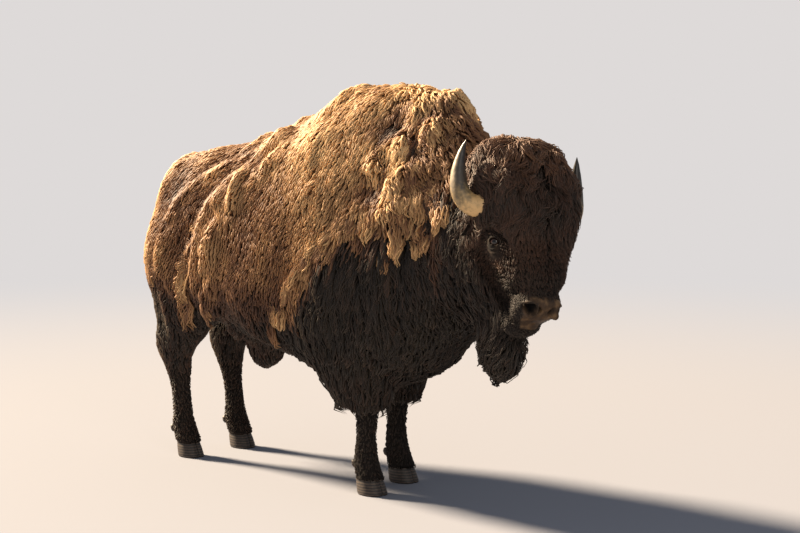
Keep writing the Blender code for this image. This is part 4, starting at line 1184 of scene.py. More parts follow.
def lockMesh(name, paths, ups, width, thick, tone, stops, uv, rng, material):
    # Each lock is a ridge of three sides that swells from its root and closes to one point at its tip
    count, steps = paths.shape[0], paths.shape[1] - 1
    t = np.array((0, *stops))[:-1]
    heading = unit(np.gradient(paths, axis=1))[:, :-1]
    side = unit(np.cross(ups[:, :-1], heading))
    up = np.cross(heading, side)
    swell = (0.55 + 0.45 * np.minimum(t / 0.3, 1)) * (1 - 0.58 * t ** 2.5)
    half = (width[:, None] * swell / 2)[..., None]
    rise = (thick[:, None] * swell)[..., None]
    centre = paths[:, :-1]
    body = np.stack([centre + side * half, centre + up * rise, centre - side * half], axis=2)
    points = np.concatenate([body.reshape(count, steps * 3, 3), paths[:, -1:]], axis=1)
    each = points.shape[1]
    ring, following = np.arange(3), (np.arange(3) + 1) % 3
    rows = np.arange(steps - 1)[:, None] * 3
    quads = np.stack([rows + ring, rows + following, rows + 3 + following, rows + 3 + ring], axis=-1)
    last = (steps - 1) * 3
    tips = np.stack([last + ring, last + following, np.full(3, each - 1)], axis=-1)
    loops = np.concatenate([quads.ravel(), tips.ravel(), [2, 1, 0]])
    sizes = np.tile([4] * (quads.size // 4) + [3] * 4, count)
    indices = ((np.arange(count) * each)[:, None] + loops[None]).ravel()
    mesh = bpy.data.meshes.new(name)
    mesh.vertices.add(count * each)
    mesh.vertices.foreach_set("co", (points.reshape(-1, 3) + rowShift).astype(np.float32).ravel())
    mesh.loops.add(len(indices))
    mesh.loops.foreach_set("vertex_index", indices.astype(np.int32))
    mesh.polygons.add(len(sizes))
    starts = np.concatenate([[0], np.cumsum(sizes)[:-1]])
    mesh.polygons.foreach_set("loop_start", starts.astype(np.int32))
    mesh.polygons.foreach_set("use_smooth", np.ones(len(sizes), bool))
    mesh.update(calc_edges=True)
    mesh.materials.append(material)
    item = linkPiece(name, mesh)
    along = np.append(np.repeat(t, 3), 1.0)
    around = np.append(np.tile([0.0, 0.5, 1.0], steps), 0.5)
    addAttribute(item, "along", np.tile(along, count))
    addAttribute(item, "around", np.tile(around, count))
    addAttribute(item, "vary", np.repeat(rng.random(count), each))
    addAttribute(item, "tone", np.repeat(tone, each))
    patch = patchSize * (np.stack([around, along], axis=-1) - 0.5)
    corner = (uv[:, None] + patch[None]).reshape(-1, 2)[indices]
    layer = mesh.uv_layers.new(name="OFBake")
    layer.data.foreach_set("uv", corner.astype(np.float32).ravel())
    return item


def unwrapPlace(points, zone):
    # The skin's own unwrap: round the trunk by angle and along it, round each leg, and round the face
    x, y, z = points.T
    if zone == "head":
        along, left, out = toLocal(headFrame, points)
        u, v = np.arctan2(left, out + 0.14), (along + 0.25) / 0.90
    elif zone == "legs":
        centre = np.where(x > midTrunk, 0.0, -1.25)
        u = np.arctan2(y - footMiddle(x) * np.sign(y), x - centre)
        quarter = (x > midTrunk) * 0.5 + (y > 0) * 0.25
        v = quarter + 0.24 * np.clip(z / 1.1, 0, 1)
    else:
        u, v = np.arctan2(y, z - 1.05), (x + 1.65) / 2.9
    u = (u + math.pi) / (2 * math.pi)
    return np.clip(np.stack([u, v], axis=-1), 0, 1) * 0.98 + 0.01


def linear(hexColour):
    # sRGB hex to linear
    values = [int(hexColour[i:i + 2], 16) / 255 for i in (1, 3, 5)]
    return tuple(v / 12.92 if v <= 0.04045 else ((v + 0.055) / 1.055) ** 2.4 for v in values) + (1.0,)


def setSockets(tree, node, values=(), links=()):
    # a node's own socket values, and the (node, output) pairs that feed its other sockets
    for socket, value in dict(values).items():
        node.inputs[socket].default_value = value
    for socket, (source, output) in dict(links).items():
        tree.links.new(source.outputs[output], node.inputs[socket])


def addNode(tree, kind, values=(), links=(), **settings):
    # one node with its settings, its socket values and its links
    node = tree.nodes.new("ShaderNode" + kind)
    for key, value in settings.items():
        setattr(node, key, value)
    setSockets(tree, node, values, links)
    return node


def startMaterial(name):
    material = bpy.data.materials.new(name)
    material.use_nodes = True
    return material, material.node_tree, material.node_tree.nodes["Principled BSDF"]


def fillRamp(node, stops):
    ramp = node.color_ramp
    while len(ramp.elements) > 1:
        ramp.elements.remove(ramp.elements[-1])
    ramp.elements[0].position, ramp.elements[0].color = stops[0][0], linear(stops[0][1])
    for position, colour in stops[1:]:
        ramp.elements.new(position).color = linear(colour)
    return node


# Pigment of the hair from brown-black to bleached straw
hairTones = ((0.0, "#16110e"), (0.12, "#2a1f19"), (0.28, "#4a3125"), (0.45, "#6d4a33"), (0.65, "#936c48"),
             (0.82, "#b68f62"), (1.0, "#d9b27e"))


def hairMaterial():
    # Bison wool: keratin fibre felted into locks. Dull, with a soft rim where light grazes the fibres,
    # darker at the roots and lighter at the tips, partly their bleaching and partly painted shade between
    # the locks and painted highlight on their tips, and finely grooved along each lock with painted shade
    # in the grooves.
    material, tree, shader = startMaterial("bison_wool")
    tone, along, around, vary = (addNode(tree, "Attribute", attribute_name=name)
                                 for name in ("tone", "along", "around", "vary"))
    spread = addNode(tree, "Math", {1: 40.0}, {0: (vary, "Fac")}, operation="MULTIPLY")
    place = addNode(tree, "CombineXYZ", {}, {"X": (around, "Fac"), "Y": (along, "Fac"), "Z": (spread, 0)})
    stretch = addNode(tree, "Mapping", {"Scale": (9.0, 1.6, 1.0)}, {"Vector": (place, 0)})
    strands = addNode(tree, "TexNoise", {"Scale": 1.0, "Detail": 2.0}, {"Vector": (stretch, 0)})
    # root to tip, partly painted shade at the root and painted highlight at the tip; lock by lock; and
    # streak by streak in a lock, darker as painted shade where the strands' bump is low
    tip, byLock, streakAndGrooveShade = (
        addNode(tree, "MapRange", {"From Min": start, "From Max": end, "To Min": low, "To Max": high},
                {"Value": (source, "Fac")})
        for source, start, end, low, high in ((along, 0.0, 1.0, -0.13, 0.10), (vary, 0.0, 1.0, -0.06, 0.06),
                                              (strands, 0.3, 0.7, -0.09, 0.07)))
    total = addNode(tree, "Math", {}, {0: (byLock, 0), 1: (streakAndGrooveShade, 0)}, operation="ADD")
    base = addNode(tree, "Math", {}, {0: (tone, "Fac"), 1: (tip, 0)}, operation="ADD")
    total = addNode(tree, "Math", {}, {0: (base, 0), 1: (total, 0)}, operation="ADD")
    ramp = addNode(tree, "ValToRGB", {}, {"Fac": (total, 0)})
    fillRamp(ramp, hairTones)
    bump = addNode(tree, "Bump", {"Strength": 0.5, "Distance": 0.002}, {"Height": (strands, "Fac")})
    setSockets(tree, shader, {
        "Roughness": 0.62,
        "Specular IOR Level": 0.35,
        "Sheen Weight": 0.12,
        "Sheen Roughness": 0.5,
        "Sheen Tint": linear("#e8d2b4"),
    }, {"Base Color": (ramp, "Color"), "Normal": (bump, "Normal")})
    return material


def hideMaterial():
    # Hide: bare, moist and pebbled on the nose, bare and dry on the lids, short-haired on the face and the
    # legs. The bare lids and their folds are nearly black skin, and painted shade makes the insides of the
    # nostrils and of the eyes' openings nearly black.
    material, tree, shader = startMaterial("bison_hide")
    tone, bare, deep = (addNode(tree, "Attribute", attribute_name=name) for name in ("tone", "bare", "deep"))
    where = addNode(tree, "TexCoord")
    hairPlace = addNode(tree, "Mapping", {"Scale": (260.0, 260.0, 60.0)}, {"Vector": (where, "Object")})
    hairs = addNode(tree, "TexNoise", {"Scale": 1.0, "Detail": 3.0}, {"Vector": (hairPlace, 0)})
    pebbles = addNode(tree, "TexVoronoi", {"Scale": 230.0}, {"Vector": (where, "Object")})
    blotch = addNode(tree, "TexNoise", {"Scale": 28.0, "Detail": 3.0}, {"Vector": (where, "Object")})
    darker = addNode(tree, "MapRange", {"From Min": 0.3, "From Max": 0.7, "To Min": -0.16, "To Max": 0.0},
                     {"Value": (hairs, "Fac")})
    total = addNode(tree, "Math", {}, {0: (tone, "Fac"), 1: (darker, 0)}, operation="ADD")
    coat = addNode(tree, "ValToRGB", {}, {"Fac": (total, 0)})
    fillRamp(coat, hairTones)
    leather = addNode(tree, "ValToRGB", {}, {"Fac": (blotch, "Fac")})
    fillRamp(leather, ((0.30, "#2a211a"), (0.52, "#4a392a"), (0.70, "#70583f")))
    colour = addNode(tree, "Mix", {}, {0: (bare, "Fac"), 6: (coat, "Color"), 7: (leather, "Color")},
                     data_type="RGBA")
    # painted shade inside the openings, and the lids' own dark skin, mixed towards near-black
    colour = addNode(tree, "Mix", {7: linear("#090606")}, {0: (deep, "Fac"), 6: (colour, 2)},
                     data_type="RGBA")
    moist = addNode(tree, "Math", {}, {0: (bare, "Fac"), 1: (deep, "Fac")}, operation="SUBTRACT")
    rough = addNode(tree, "MapRange", {"To Min": 0.80, "To Max": 0.48}, {"Value": (moist, 0)})
    height = addNode(tree, "Mix", {}, {0: (bare, "Fac"), 2: (hairs, "Fac"), 3: (pebbles, "Distance")},
                     data_type="FLOAT")
    bump = addNode(tree, "Bump", {"Strength": 0.6, "Distance": 0.0015}, {"Height": (height, 0)})
    setSockets(tree, shader, {"Specular IOR Level": 0.16},
               {"Base Color": (colour, 2), "Roughness": (rough, 0), "Normal": (bump, "Normal")})
    return material


def hornMaterial():
    # Horn sheath: layered keratin, tan and scurfy at the root, grey-black and polished towards the tip, with
    # a pale painted highlight along its outer side
    material, tree, shader = startMaterial("horn_keratin")
    along, paintedHighlight = (addNode(tree, "Attribute", attribute_name=name) for name in ("along", "paintedHighlight"))
    where = addNode(tree, "TexCoord")
    grain = addNode(tree, "TexNoise", {"Scale": 60.0, "Detail": 4.0}, {"Vector": (where, "Object")})
    jitter = addNode(tree, "MapRange", {"From Min": 0.3, "From Max": 0.7, "To Min": -0.07, "To Max": 0.07},
                     {"Value": (grain, "Fac")})
    place = addNode(tree, "Math", {}, {0: (along, "Fac"), 1: (jitter, 0)}, operation="ADD")
    ramp = addNode(tree, "ValToRGB", {}, {"Fac": (place, 0)})
    fillRamp(ramp, ((0.0, "#deb884"), (0.30, "#d2ab75"), (0.44, "#8a7552"), (0.56, "#4a4238"),
                    (0.85, "#2b2724"), (1.0, "#1c1a18")))
    # painted highlight: pale along the horn's outer side
    pale = addNode(tree, "Mix", {7: linear("#cbb89a")}, {0: (paintedHighlight, "Fac"), 6: (ramp, "Color")},
                   data_type="RGBA")
    rough = addNode(tree, "MapRange", {"To Min": 0.62, "To Max": 0.34}, {"Value": (along, "Fac")})
    bump = addNode(tree, "Bump", {"Strength": 0.5, "Distance": 0.001}, {"Height": (grain, "Fac")})
    setSockets(tree, shader, {},
               {"Base Color": (pale, 2), "Roughness": (rough, 0), "Normal": (bump, "Normal")})
    return material


def hoofMaterial():
    # Hoof: hard dark keratin, ringed by growth and scuffed at its edge
    material, tree, shader = startMaterial("hoof_keratin")
    where = addNode(tree, "TexCoord")
    rings = addNode(tree, "TexWave", {"Scale": 26.0, "Distortion": 1.5, "Detail": 2.0},
                    {"Vector": (where, "Object")}, bands_direction="Z")
    scuffs = addNode(tree, "TexNoise", {"Scale": 90.0, "Detail": 4.0}, {"Vector": (where, "Object")})
    mix = addNode(tree, "Mix", {0: 0.5}, {2: (rings, "Fac"), 3: (scuffs, "Fac")}, data_type="FLOAT")
    ramp = addNode(tree, "ValToRGB", {}, {"Fac": (mix, 0)})
    fillRamp(ramp, ((0.30, "#211b17"), (0.60, "#3a3029"), (0.80, "#5a4c40")))
    bump = addNode(tree, "Bump", {"Strength": 0.4, "Distance": 0.001}, {"Height": (mix, 0)})
    setSockets(tree, shader, {"Roughness": 0.55}, {"Base Color": (ramp, "Color"), "Normal": (bump, "Normal")})
    return material


def eyeMaterial():
    # Eye: a wet cornea over a brown-black iris with a level dark pupil. The wet coat gives its bright spot.
    material, tree, shader = startMaterial("eye_cornea")
    iris = addNode(tree, "Attribute", attribute_name="iris")
    ramp = addNode(tree, "ValToRGB", {}, {"Fac": (iris, "Fac")})
    fillRamp(ramp, ((0.0, "#050404"), (0.35, "#060404"), (0.45, "#241309"), (0.75, "#2b170c"),
                    (0.88, "#120a07"), (1.0, "#1c1411")))
    setSockets(tree, shader, {"Roughness": 0.06, "IOR": 1.376, "Coat Weight": 0.5, "Coat Roughness": 0.02},
               {"Base Color": (ramp, "Color")})
    return material


def smoothCurve(points, count):
    # Catmull-Rom curve through rows of numbers
    points = np.array(points, float)
    padded = np.vstack([2 * points[0] - points[1], points, 2 * points[-1] - points[-2]])
    place = np.linspace(0, len(points) - 1, count)
    index = np.minimum(place.astype(int), len(points) - 2)
    t = (place - index)[:, None]
    a, b, c, d = (padded[index + k] for k in range(4))
    return (2 * b + (c - a) * t + (2 * a - 5 * b + 4 * c - d) * t ** 2 + (3 * b - a - 3 * c + d) * t ** 3) / 2


hornShape = {
    "rows": 90, "round": 40,
    "ring": 0.011, "ringDepth": 0.0009,       # growth rings near the root
    "flutes": 17, "fluteDepth": 0.0005,       # grooves along the sheath
    "grain": 0.012, "grainDepth": 0.0006,
    "paintedHighlight": 0.6,                              # how pale the painted highlight along the outer side is
}


def makeHorn(name, side, material):
    # A tapering tube along the horn's curve, ringed near its root and finely fluted along its length
    count, columns = hornShape["rows"], hornShape["round"]
    rows = smoothCurve(hornRows, count)
    line = headPoint(rows[:, :3], side)
    travelled = np.concatenate([[0], np.cumsum(np.linalg.norm(np.diff(line, axis=0), axis=1))])
    part = travelled / travelled[-1]
    radius = rows[:, 3] * headPose["scale"] * np.sqrt(1 - part ** 16 * 0.98)
    angle = np.arange(columns) * 2 * math.pi / columns
    rings = np.sin(travelled / hornShape["ring"] * 2 * math.pi) * fade(0.30, 0.60, part)
    rings = rings * hornShape["ringDepth"]
    points = tubePoints(line, np.ones(count), columns, across=(0.3, 0.9, 0.2))
    flutes = hornShape["fluteDepth"] * np.sin(angle * hornShape["flutes"])[None] * (1 - part)[:, None]
    grain = wander(points.reshape(-1, 3), hornShape["grain"], 31).reshape(points.shape[:2])
    grain = grain * hornShape["grainDepth"]
    size = radius[:, None] + rings[:, None] + flutes + grain
    points = line[:, None] + (points - line[:, None]) * size[..., None]
    flat = points.reshape(-1, 3)
    item = linkMesh(name, flat, ringFaces(count, columns))
    outward = unit((points - line[:, None]).reshape(-1, 3))
    leftward = headFrame["axes"][1] * side
    # painted highlight: pale along the horn's outer side, from its middle to the tip
    paintedHighlight = hornShape["paintedHighlight"] * smoothStep(0.70, 0.98, outward @ unit(leftward + 0.1 * headFrame["axes"][2]))
    paintedHighlight = paintedHighlight * np.repeat(smoothStep(0.45, 0.62, part), columns) * (0.6 + 0.4 * wander(flat, 0.02, 32))
    addAttribute(item, "along", np.repeat(part, columns))
    addAttribute(item, "paintedHighlight", paintedHighlight)
    item.data.materials.append(material)
    return item


# Eyeball: how much and how broadly the cornea swells, the pupil's stretch along and across the opening, and
# where the iris ends
eyeShape = {"rows": 24, "round": 40, "swell": 0.05, "swellHalf": 0.55, "pupil": (0.75, 1.25), "iris": 0.72}


def makeEye(name, side, material):
    # A ball whose cornea swells a little at its front
    polar, local = ballPoints(eyeShape["rows"], eyeShape["round"], 0.02)
    bulge = 1 + eyeShape["swell"] * np.exp(-(polar / eyeShape["swellHalf"]) ** 2)
    radius = (eyeRadius / headPose["scale"]) * bulge
    place = np.array(facePlaces["eye"]) + (local * radius[..., None]) @ eyeAxes()
    faces = ringFaces(eyeShape["rows"], eyeShape["round"])
    item = linkMesh(name, headPoint(place.reshape(-1, 3), side), faces)
    wide, tall = eyeShape["pupil"]
    spread = np.hypot(local[..., 0] * wide, local[..., 1] * tall)
    addAttribute(item, "iris", np.clip(spread / eyeShape["iris"], 0, 1).ravel())
    item.data.materials.append(material)
    return item


# Claws: half length and half width, and rings from the sole up as height, set-back and size
clawShape = {
    "fore": (0.066, 0.056), "hind": (0.062, 0.052),
    "profile": ((0.0, 0.0, 0.985), (0.004, 0.001, 1.0), (0.010, 0.003, 1.02), (0.045, 0.014, 0.96),
                (0.0746, 0.024, 0.86)),
    "rows": 14, "round": 40, "gap": 0.002,
}
dewclawShape = {
    "height": 0.128, "apart": 0.024, "half": (0.014, 0.012, 0.019), "lean": 0.2,
    "rows": 12, "round": 20,
}


def clawPoints(ankle, outward, length, width):
    # Rings of a claw from its sole up: straight along its inner wall, round outside, narrowing to the front
    height, back, size = smoothCurve(clawShape["profile"], clawShape["rows"]).T[:, :, None]
    angle = np.linspace(0, math.pi, clawShape["round"])
    x = length * size * np.cos(angle)
    y = width * size * np.sin(angle) ** 0.7 * (1 - 0.22 * np.maximum(np.cos(angle), 0) ** 2)
    inner = clawShape["gap"] + 0.03 * (x + length)
    return np.stack([ankle[0] + x - back, ankle[1] + outward * (inner + y), height + 0 * x], axis=-1)


def makeHoof(leg, sideName, claw, material):
    side = sides[sideName]
    rows = foreRows if leg == "fore" else hindRows
    ankle = (rows[-1][1] + legSteps[leg + sideName] + 0.012, rows[-1][2] * side)
    points = clawPoints(ankle, side if claw == "outer" else -side, *clawShape[leg])
    faces = ringFaces(clawShape["rows"], clawShape["round"])
    item = linkMesh(f"{leg}_claw_{claw}_{sideName.lower()}", points.reshape(-1, 3), faces)
    item.data.materials.append(material)
    return item


def makeDewclaw(leg, sideName, claw, material):
    # A small leaning ball of horn behind the fetlock
    side = sides[sideName]
    _, x, across, half, _ = (foreRows if leg == "fore" else hindRows)[-3]
    outward = side if claw == "outer" else -side
    heel = (x - half + 0.004 + legSteps[leg + sideName], across * side + outward * dewclawShape["apart"],
            dewclawShape["height"])
    _, ball = ballPoints(dewclawShape["rows"], dewclawShape["round"], 0.05)
    ball = ball * dewclawShape["half"]
    ball[..., 0] -= dewclawShape["lean"] * ball[..., 2]
    faces = ringFaces(dewclawShape["rows"], dewclawShape["round"])
    item = linkMesh(f"{leg}_spur_{claw}_{sideName.lower()}", ball.reshape(-1, 3) + heel, faces)
    item.data.materials.append(material)
    return item


# Hair of the tail: its locks, the part of the stem over which it grows long, the lengths of short and long
# hair, how far it stands out short and long, and its colour at the root and what the end takes off it
switchShape = {
    "locks": 1200, "lineRows": 60, "rings": 7,
    "longFrom": 0.72, "longAt": 0.95,
    "short": 0.045, "long": 0.12, "longer": 0.12,
    "close": 0.008, "loose": 0.022,
    "tone": 0.30, "endDarker": 0.22,
}


def switchLocks(rng, material):
    # Hair of the tail: short and close down the stem, long from its end
    count, rows = switchShape["locks"], switchShape["lineRows"]
    line = tailLine(rows)
    part = rng.random(count)
    spot = line[(part * (rows - 1)).astype(int)]
    angle = rng.random(count) * 2 * math.pi
    radius = np.interp(part, (0, 1), (tailShape["root"], tailShape["tip"]))
    out = np.stack([-np.cos(angle), np.sin(angle), 0 * angle], axis=-1)
    roots = spot + out * radius[:, None] * 0.9
    grown = smoothStep(switchShape["longFrom"], switchShape["longAt"], part)
    hanging = switchShape["long"] + switchShape["longer"] * rng.random(count)
    length = switchShape["short"] * (1 - grown) + hanging * grown
    t = np.linspace(0, 1, switchShape["rings"])
    spread = switchShape["close"] + switchShape["loose"] * grown
    bulge = np.sin(math.pi * t ** 0.8)[None] * spread[:, None] * (0.3 + 0.7 * rng.random(count))[:, None]
    lowest = tailShape["switchEnd"] + 0.002 + 0.03 * rng.random((count, 1))
    heights = np.maximum(roots[:, 2:] - t * length[:, None], lowest)
    follow = np.interp(-heights, -line[:, 2], line[:, 0])
    closing = 1 - 0.5 * t
    paths = np.stack([follow + (roots[:, :1] - spot[:, :1]) * closing + bulge * out[:, :1],
                      roots[:, 1:2] * closing + bulge * out[:, 1:2], heights], axis=-1)
    ups = np.repeat(out[:, None], len(t), axis=1)
    tone = np.clip(switchShape["tone"] - switchShape["endDarker"] * smoothStep(0.3, 0.9, part), 0.04, 1)
    uv = np.stack([angle / (2 * math.pi), part], axis=-1) * 0.98 + 0.01
    width = np.interp(length, (0.04, 0.2), (0.008, 0.011))
    return lockMesh("coat_tail", paths, ups, width, width * 0.4, tone, tuple(t[1:]), uv, rng, material)


# Rings along a lock, as shares of its length
lockRings = {
    "short": (0.6, 1),
    "face": (0.4, 0.85, 1),
    "leg": (0.35, 0.70, 0.93, 1),
    "curl": (0.3, 0.6, 0.88, 1),
    "wool": (0.25, 0.48, 0.72, 0.93, 1),
    "hanging": (0.2, 0.45, 0.7, 0.92, 1),
    "beard": (0.2, 0.4, 0.6, 0.8, 0.93, 1),
    "tatter": (0.2, 0.4, 0.6, 0.8, 0.95, 1),
}
# Each zone of the coat: how it is unwrapped, its locks' rings, the size of a clump and how tightly it draws
# together
zones = {
    "face": ("head", "face", 0.03, 0.2),
    "bonnet": ("head", "curl", 0.026, 0.7),
    "beard": ("head", "beard", 0.030, 0.8),
    "collar": ("trunk", "wool", 0.050, 0.5),
    "neck": ("trunk", "hanging", 0.045, 0.75),
    "cape": ("trunk", "wool", 0.045, 0.12),
    "barrel": ("trunk", "wool", 0.045, 0.12),
    "rump": ("trunk", "wool", 0.045, 0.12),
    "chest": ("trunk", "hanging", 0.055, 0.75),
    "thighs": ("legs", "leg", 0.045, 0.3),
    "shanks": ("legs", "short", 0.03, 0.2),
}
# most triangles in one piece of the coat
pieceLimit = 190000
# Tatters of shed wool that hang from the mats: spacing along the cape's edge and how far above it, locks in
# each and how far apart, how many hang from the neck and between which x, heights and lengths, and single
# places as x, height and length
tatters = {
    "step": 0.050,
    "above": 0.07,
    "locks": 22,
    "spread": 0.015,
    "width": 0.0105,
    "neck": 26,
    "neckRanges": ((0.34, 0.58), (1.08, 1.62), (0.06, 0.15)),
    "spots": ((-1.05, 0.90, 0.20), (-1.04, 0.84, 0.19), (-1.05, 0.94, 0.15), (-1.02, 1.02, 0.11),
              (-0.98, 1.12, 0.10), (-0.92, 1.22, 0.08), (-1.40, 0.86, 0.09), (-0.96, 0.76, 0.14),
              (-0.93, 0.72, 0.10)),
}


def growTatters(material):
    rng = np.random.default_rng(17)
    along = np.arange(capeEdge[1][0], 0.46, tatters["step"])
    neck = [rng.uniform(low, high, tatters["neck"]) for low, high in tatters["neckRanges"]]
    spots = np.concatenate([
        np.stack([along, readTable(capeEdge, along) + tatters["above"], 0.10 + 0 * along], axis=-1),
        np.stack(neck, axis=-1),
        np.array(tatters["spots"]),
    ])
    spots = np.concatenate([spots, spots])
    side = np.repeat([-1, 1], len(spots) // 2)
    spots[:, :2] += rng.normal(0, 0.022, (len(spots), 2))
    starts = settle(outlineForm, np.stack([spots[:, 0], side * 0.42, spots[:, 1]], axis=-1), 12, 0.05)
    group = np.repeat(np.arange(len(spots)), tatters["locks"])
    count = len(group)
    roots = starts[group] + rng.normal(0, tatters["spread"], (count, 3)) * [1, 0, 1]
    roots = settle(outlineForm, roots, 3)
    normals = unit(gradientOf(outlineForm, roots))
    roots = roots - 0.012 * normals
    style = coatStyle(roots)
    lengths = spots[:, 2] * rng.uniform(0.7, 1.35, len(spots))
    style["length"] = lengths[group] * rng.uniform(0.75, 1.1, count)
    for key, value in (("long", 1.0), ("rows", 0.0), ("bound", 0.0), ("stray", 0.3)):
        style[key] = np.full(count, value)
    style["lift"] = rng.uniform(0.0, 0.9, len(spots))[group]
    pale = rng.uniform(0.46, 0.82, len(spots))[group]
    tone = np.clip(pale + 0.07 * rng.standard_normal(count), 0, 1)
    stops = lockRings["tatter"]
    paths, ups = comb(roots, normals, style, stops, rng)
    paths = gather(paths, group[:, None], stops, 0.6)
    paths = crimp(paths, ups, style, stops, rng)
    # the rump's tatters curl twice
    curled = crimp(paths, ups, style, stops, rng)
    paths = np.where((roots[:, 0] < -0.8)[:, None, None], curled, paths)
    width = tatters["width"] * rng.uniform(0.7, 1.3, count)
    uv = unwrapPlace(roots, "trunk")
    return lockMesh("coat_tatters", paths, ups, width, width * 0.6, tone, stops, uv, rng, material)


def zoneOf(roots, style):
    x, _, z = roots.T
    onHead, hanging = style["onHead"] > 0.5, style["long"] > 0.5
    zone = np.full(len(roots), "cape", dtype="<U8")
    zone[x < -0.48] = "barrel"
    zone[(x > 0.14) & (z > 1.15)] = "collar"
    zone[x < -0.96] = "rump"
    zone[(x < -0.96) & (z < 0.85)] = "thighs"
    zone[x > 0.42] = "neck"
    zone[(x > -0.48) & (x <= 0.42) & hanging] = "chest"
    zone[z < 0.46] = "shanks"
    zone[onHead] = "face"
    zone[onHead & (style["length"] > 0.045)] = "bonnet"
    zone[style["beard"] > 0.5] = "beard"
    return zone


def growCoat(points, faces, material):
    # Every zone's locks, in pieces of limited size from the rump forwards
    rng = np.random.default_rng(7)
    triangles = np.array([(face[0], face[i], face[i + 1]) for face in faces for i in range(1, len(face) - 1)])
    roots, normals = sowRoots(points, triangles, rng)
    style = coatStyle(roots)
    zone = zoneOf(roots, style)
    pieces, total = [], 0
    for name, (unwrap, rings, cell, strength) in zones.items():
        mine, stops = zone == name, lockRings[rings]
        own = {key: value[mine] for key, value in style.items()}
        paths, ups = comb(roots[mine], normals[mine], own, stops, rng)
        paths = gather(paths, np.floor(roots[mine] / cell).astype(int), stops, strength)
        paths = crimp(paths, ups, own, stops, rng)
        width = own["width"] * (0.75 + 0.5 * rng.random(len(paths)))
        thick = width * (0.50 - 0.18 * own["onHead"] + 0.20 * rng.random(len(paths)))
        uv = unwrapPlace(roots[mine], unwrap)
        each = 6 * (len(stops) - 1) + 4
        parts = math.ceil(len(paths) * each / pieceLimit)
        order = np.argsort(roots[mine][:, 0], kind="stable")
        for index, group in enumerate(np.array_split(order, parts)):
            label = f"coat_{name}" if parts == 1 else f"coat_{name}_{index + 1}"
            locks = (values[group] for values in (paths, ups, width, thick, own["tone"]))
            pieces.append((lockMesh(label, *locks, stops, uv[group], rng, material), name))
            total += len(group) * each
        print("coat", name, len(paths), "locks", parts, "pieces")
    print("coat triangles", total)
    return pieces


def aimed(name, data, place, ahead):
    # an object that looks along the given direction
    item = bpy.data.objects.new(name, data)
    item.location = place
    item.rotation_euler = Vector(ahead).to_track_quat("-Z", "Y").to_euler()
    bpy.context.scene.collection.objects.link(item)
    return item


# Light: a warm sun from beyond the rump, and a soft broad fill from beside the camera. Places are metres
# from the target: to the view's right, away from the camera, and up.
lights = {
    "key": {
        "kind": "SUN", "place": (-7.3, 5.3, 5.6), "power": 18.3, "colour": "#ffe6c4",
        "size": math.radians(9),
    },
    "fill": {
        "kind": "AREA", "place": (2.1, -7.0, 3.0), "power": 102, "colour": "#fff4e6",
        "size": 3.4,
    },
}


def addLight(name, right, level, target):
    row = lights[name]
    across, away, up = row["place"]
    light = bpy.data.lights.new(name, row["kind"])
    light.energy, light.color = row["power"], linear(row["colour"])[:3]
    if row["kind"] == "AREA":
        light.shape, light.size = "DISK", row["size"]
    else:
        light.angle = row["size"]
    offset = right * across + level * away + [0, 0, up]
    aimed(name, light, target + offset, -offset)


# Where the camera looks from. The azimuth is measured from straight at the right side towards the head, and
# the yaw sets the animal a little left of the middle.
view = {
    "azimuth": 45, "elevation": 6, "distance": 9.0, "target": (0.0, 0.0, 1.0), "lens": 91.1, "yaw": 0.283,
    "sensor": 36, "reach": 200,
}


def placeCamera():
    azimuth, elevation = math.radians(view["azimuth"]), math.radians(view["elevation"])
    flat = math.cos(elevation)
    back = np.array([math.sin(azimuth) * flat, -math.cos(azimuth) * flat, math.sin(elevation)])
    target = np.array(view["target"]) + rowShift
    ahead = turnMatrix((0, 0, 1), -math.radians(view["yaw"])) @ (-back)
    camera = aimed("camera", bpy.data.cameras.new("camera"), target + back * view["distance"], ahead)
    camera.data.lens, camera.data.sensor_width = view["lens"], view["sensor"]
    camera.data.clip_end = view["reach"]
    bpy.context.scene.camera = camera
    return back, target


# Stage: paper and sky, how far out the paper fades into the sky, and the floor's disc
stageLook = {
    "paper": "#828692", "paperRough": 0.9, "sky": "#dedad9", "skylight": "#dfe4ee", "skyPower": 0.37,
    "fadeFrom": 2.5, "fadeTo": 9.0,
    "radius": 60, "round": 96, "below": 0.0005,
}


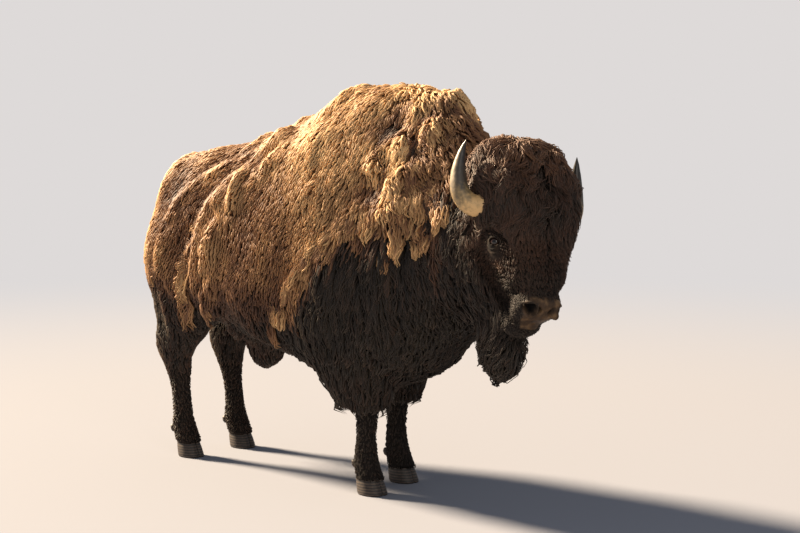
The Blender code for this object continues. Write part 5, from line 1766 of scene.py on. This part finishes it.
def addStage():
    # A pale paper floor that fades into a sky of the same grey. The sky lights the scene less than it shows.
    grey = linear(stageLook["sky"])
    material, tree, shader = startMaterial("floor_paper")
    setSockets(tree, shader, {"Base Color": linear(stageLook["paper"]), "Roughness": stageLook["paperRough"]})
    where = addNode(tree, "TexCoord")
    away = addNode(tree, "VectorMath", {}, {0: (where, "Object")}, operation="LENGTH")
    fading = addNode(tree, "MapRange", {"From Min": stageLook["fadeFrom"], "From Max": stageLook["fadeTo"]},
                     {"Value": (away, "Value")}, interpolation_type="SMOOTHSTEP")
    glow = addNode(tree, "Emission", {"Color": grey})
    mix = addNode(tree, "MixShader", {}, {0: (fading, 0), 1: (shader, 0), 2: (glow, 0)})
    setSockets(tree, tree.nodes["Material Output"], {}, {"Surface": (mix, 0)})
    count = stageLook["round"]
    angle = np.arange(count) * 2 * math.pi / count
    rim = np.stack([np.cos(angle), np.sin(angle), 0 * angle], axis=-1) * stageLook["radius"]
    rim[:, 2] -= stageLook["below"]
    mesh = bpy.data.meshes.new("floor")
    mesh.from_pydata(rim.tolist(), [], [list(range(count))])
    mesh.materials.append(material)
    linkPiece("floor", mesh)
    world = bpy.data.worlds.new("world")
    bpy.context.scene.world = world
    world.use_nodes = True
    tree = world.node_tree
    shown = tree.nodes["Background"]
    setSockets(tree, shown, {"Color": grey})
    soft = addNode(tree, "Background",
                   {"Color": linear(stageLook["skylight"]), "Strength": stageLook["skyPower"]})
    rays = addNode(tree, "LightPath")
    mix = addNode(tree, "MixShader", {}, {0: (rays, "Is Camera Ray"), 1: (soft, 0), 2: (shown, 0)})
    setSockets(tree, tree.nodes["World Output"], {}, {"Surface": (mix, 0)})
    bpy.context.scene.view_settings.view_transform = "Standard"


def handIn(piece, slot, *nodes):
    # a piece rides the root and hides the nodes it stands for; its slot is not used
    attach(piece, "root")
    if nodes:
        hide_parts(*nodes)


# nodes that pieces of their own stand for, by the start of the name or by a word in it
ownNodes = {"starts": ("eye", "horn"), "words": ("claw", "hoof"), "names": ("beard", "tail_switch")}
# slots of the zones that are not sable
zoneSlots = {
    "rump": "tawny_wool", "barrel": "tawny_wool", "cape": "tawny_wool", "collar": "tawny_wool",
    "neck": "umber_coat", "thighs": "umber_coat", "shanks": "umber_coat",
}
spaceFields = None
rowShift = np.zeros(3)


def main():
    global spaceFields, rowShift
    low, high = (np.array(corner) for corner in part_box("eye_left"))
    rowShift = (low + high) / 2 - headPoint(facePlaces["eye"])
    back, target = placeCamera()
    addStage()
    right = np.cross(-back, [0, 0, 1])
    right = right / np.linalg.norm(right)
    level = -back * [1, 1, 0]
    for name in lights:
        addLight(name, right, level, target)
    print("stage done")

    spaceFields = sampleSpace()
    print("space sampled", spaceFields.shape)
    hair, hide = hairMaterial(), hideMaterial()
    keratin, hoof, cornea = hornMaterial(), hoofMaterial(), eyeMaterial()
    skin, everyPoint, (points, faces) = makeSkin()
    onHead = headMask(everyPoint)
    place = faceLocal(everyPoint)
    # painted shade: the skin is made darker than the wool so the gaps between locks read as shade
    addAttribute(skin, "tone", coatTone(everyPoint, onHead) * 0.82)
    addAttribute(skin, "bare", np.maximum(bareNose(place), bareLids(place)) * onHead)
    skin.data.materials.append(hide)
    flesh = [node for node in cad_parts
             if not node.startswith(ownNodes["starts"]) and node not in ownNodes["names"]
             and not any(word in node for word in ownNodes["words"])]
    handIn(skin, "bare_skin", *flesh)
    print("skin done", sum(len(polygon.vertices) - 2 for polygon in skin.data.polygons), "triangles")

    for name, side in sides.items():
        label = name.lower()
        handIn(makeHorn("horn_sheath_" + label, side, keratin), "horn_keratin", "horn_" + label)
        handIn(makeEye("eyeball_" + label, side, cornea), "eye_cornea", "eye_" + label)
        for leg in ("fore", "hind"):
            for claw in ("outer", "inner"):
                for make, kind in ((makeHoof, "hoof"), (makeDewclaw, "dewclaw")):
                    handIn(make(leg, name, claw, hoof), "hoof_keratin", f"{leg}_{kind}_{claw}_{label}")
    print("horns, eyes and hooves done")

    coatPieces = growCoat(points, faces, hair)
    for piece, zone in coatPieces:
        handIn(piece, zoneSlots.get(zone, "sable_hair"))
    handIn(growTatters(hair), "tawny_wool")
    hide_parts("beard")
    handIn(switchLocks(np.random.default_rng(9), hair), "sable_hair", "tail_switch")
    print("coat done")


main()
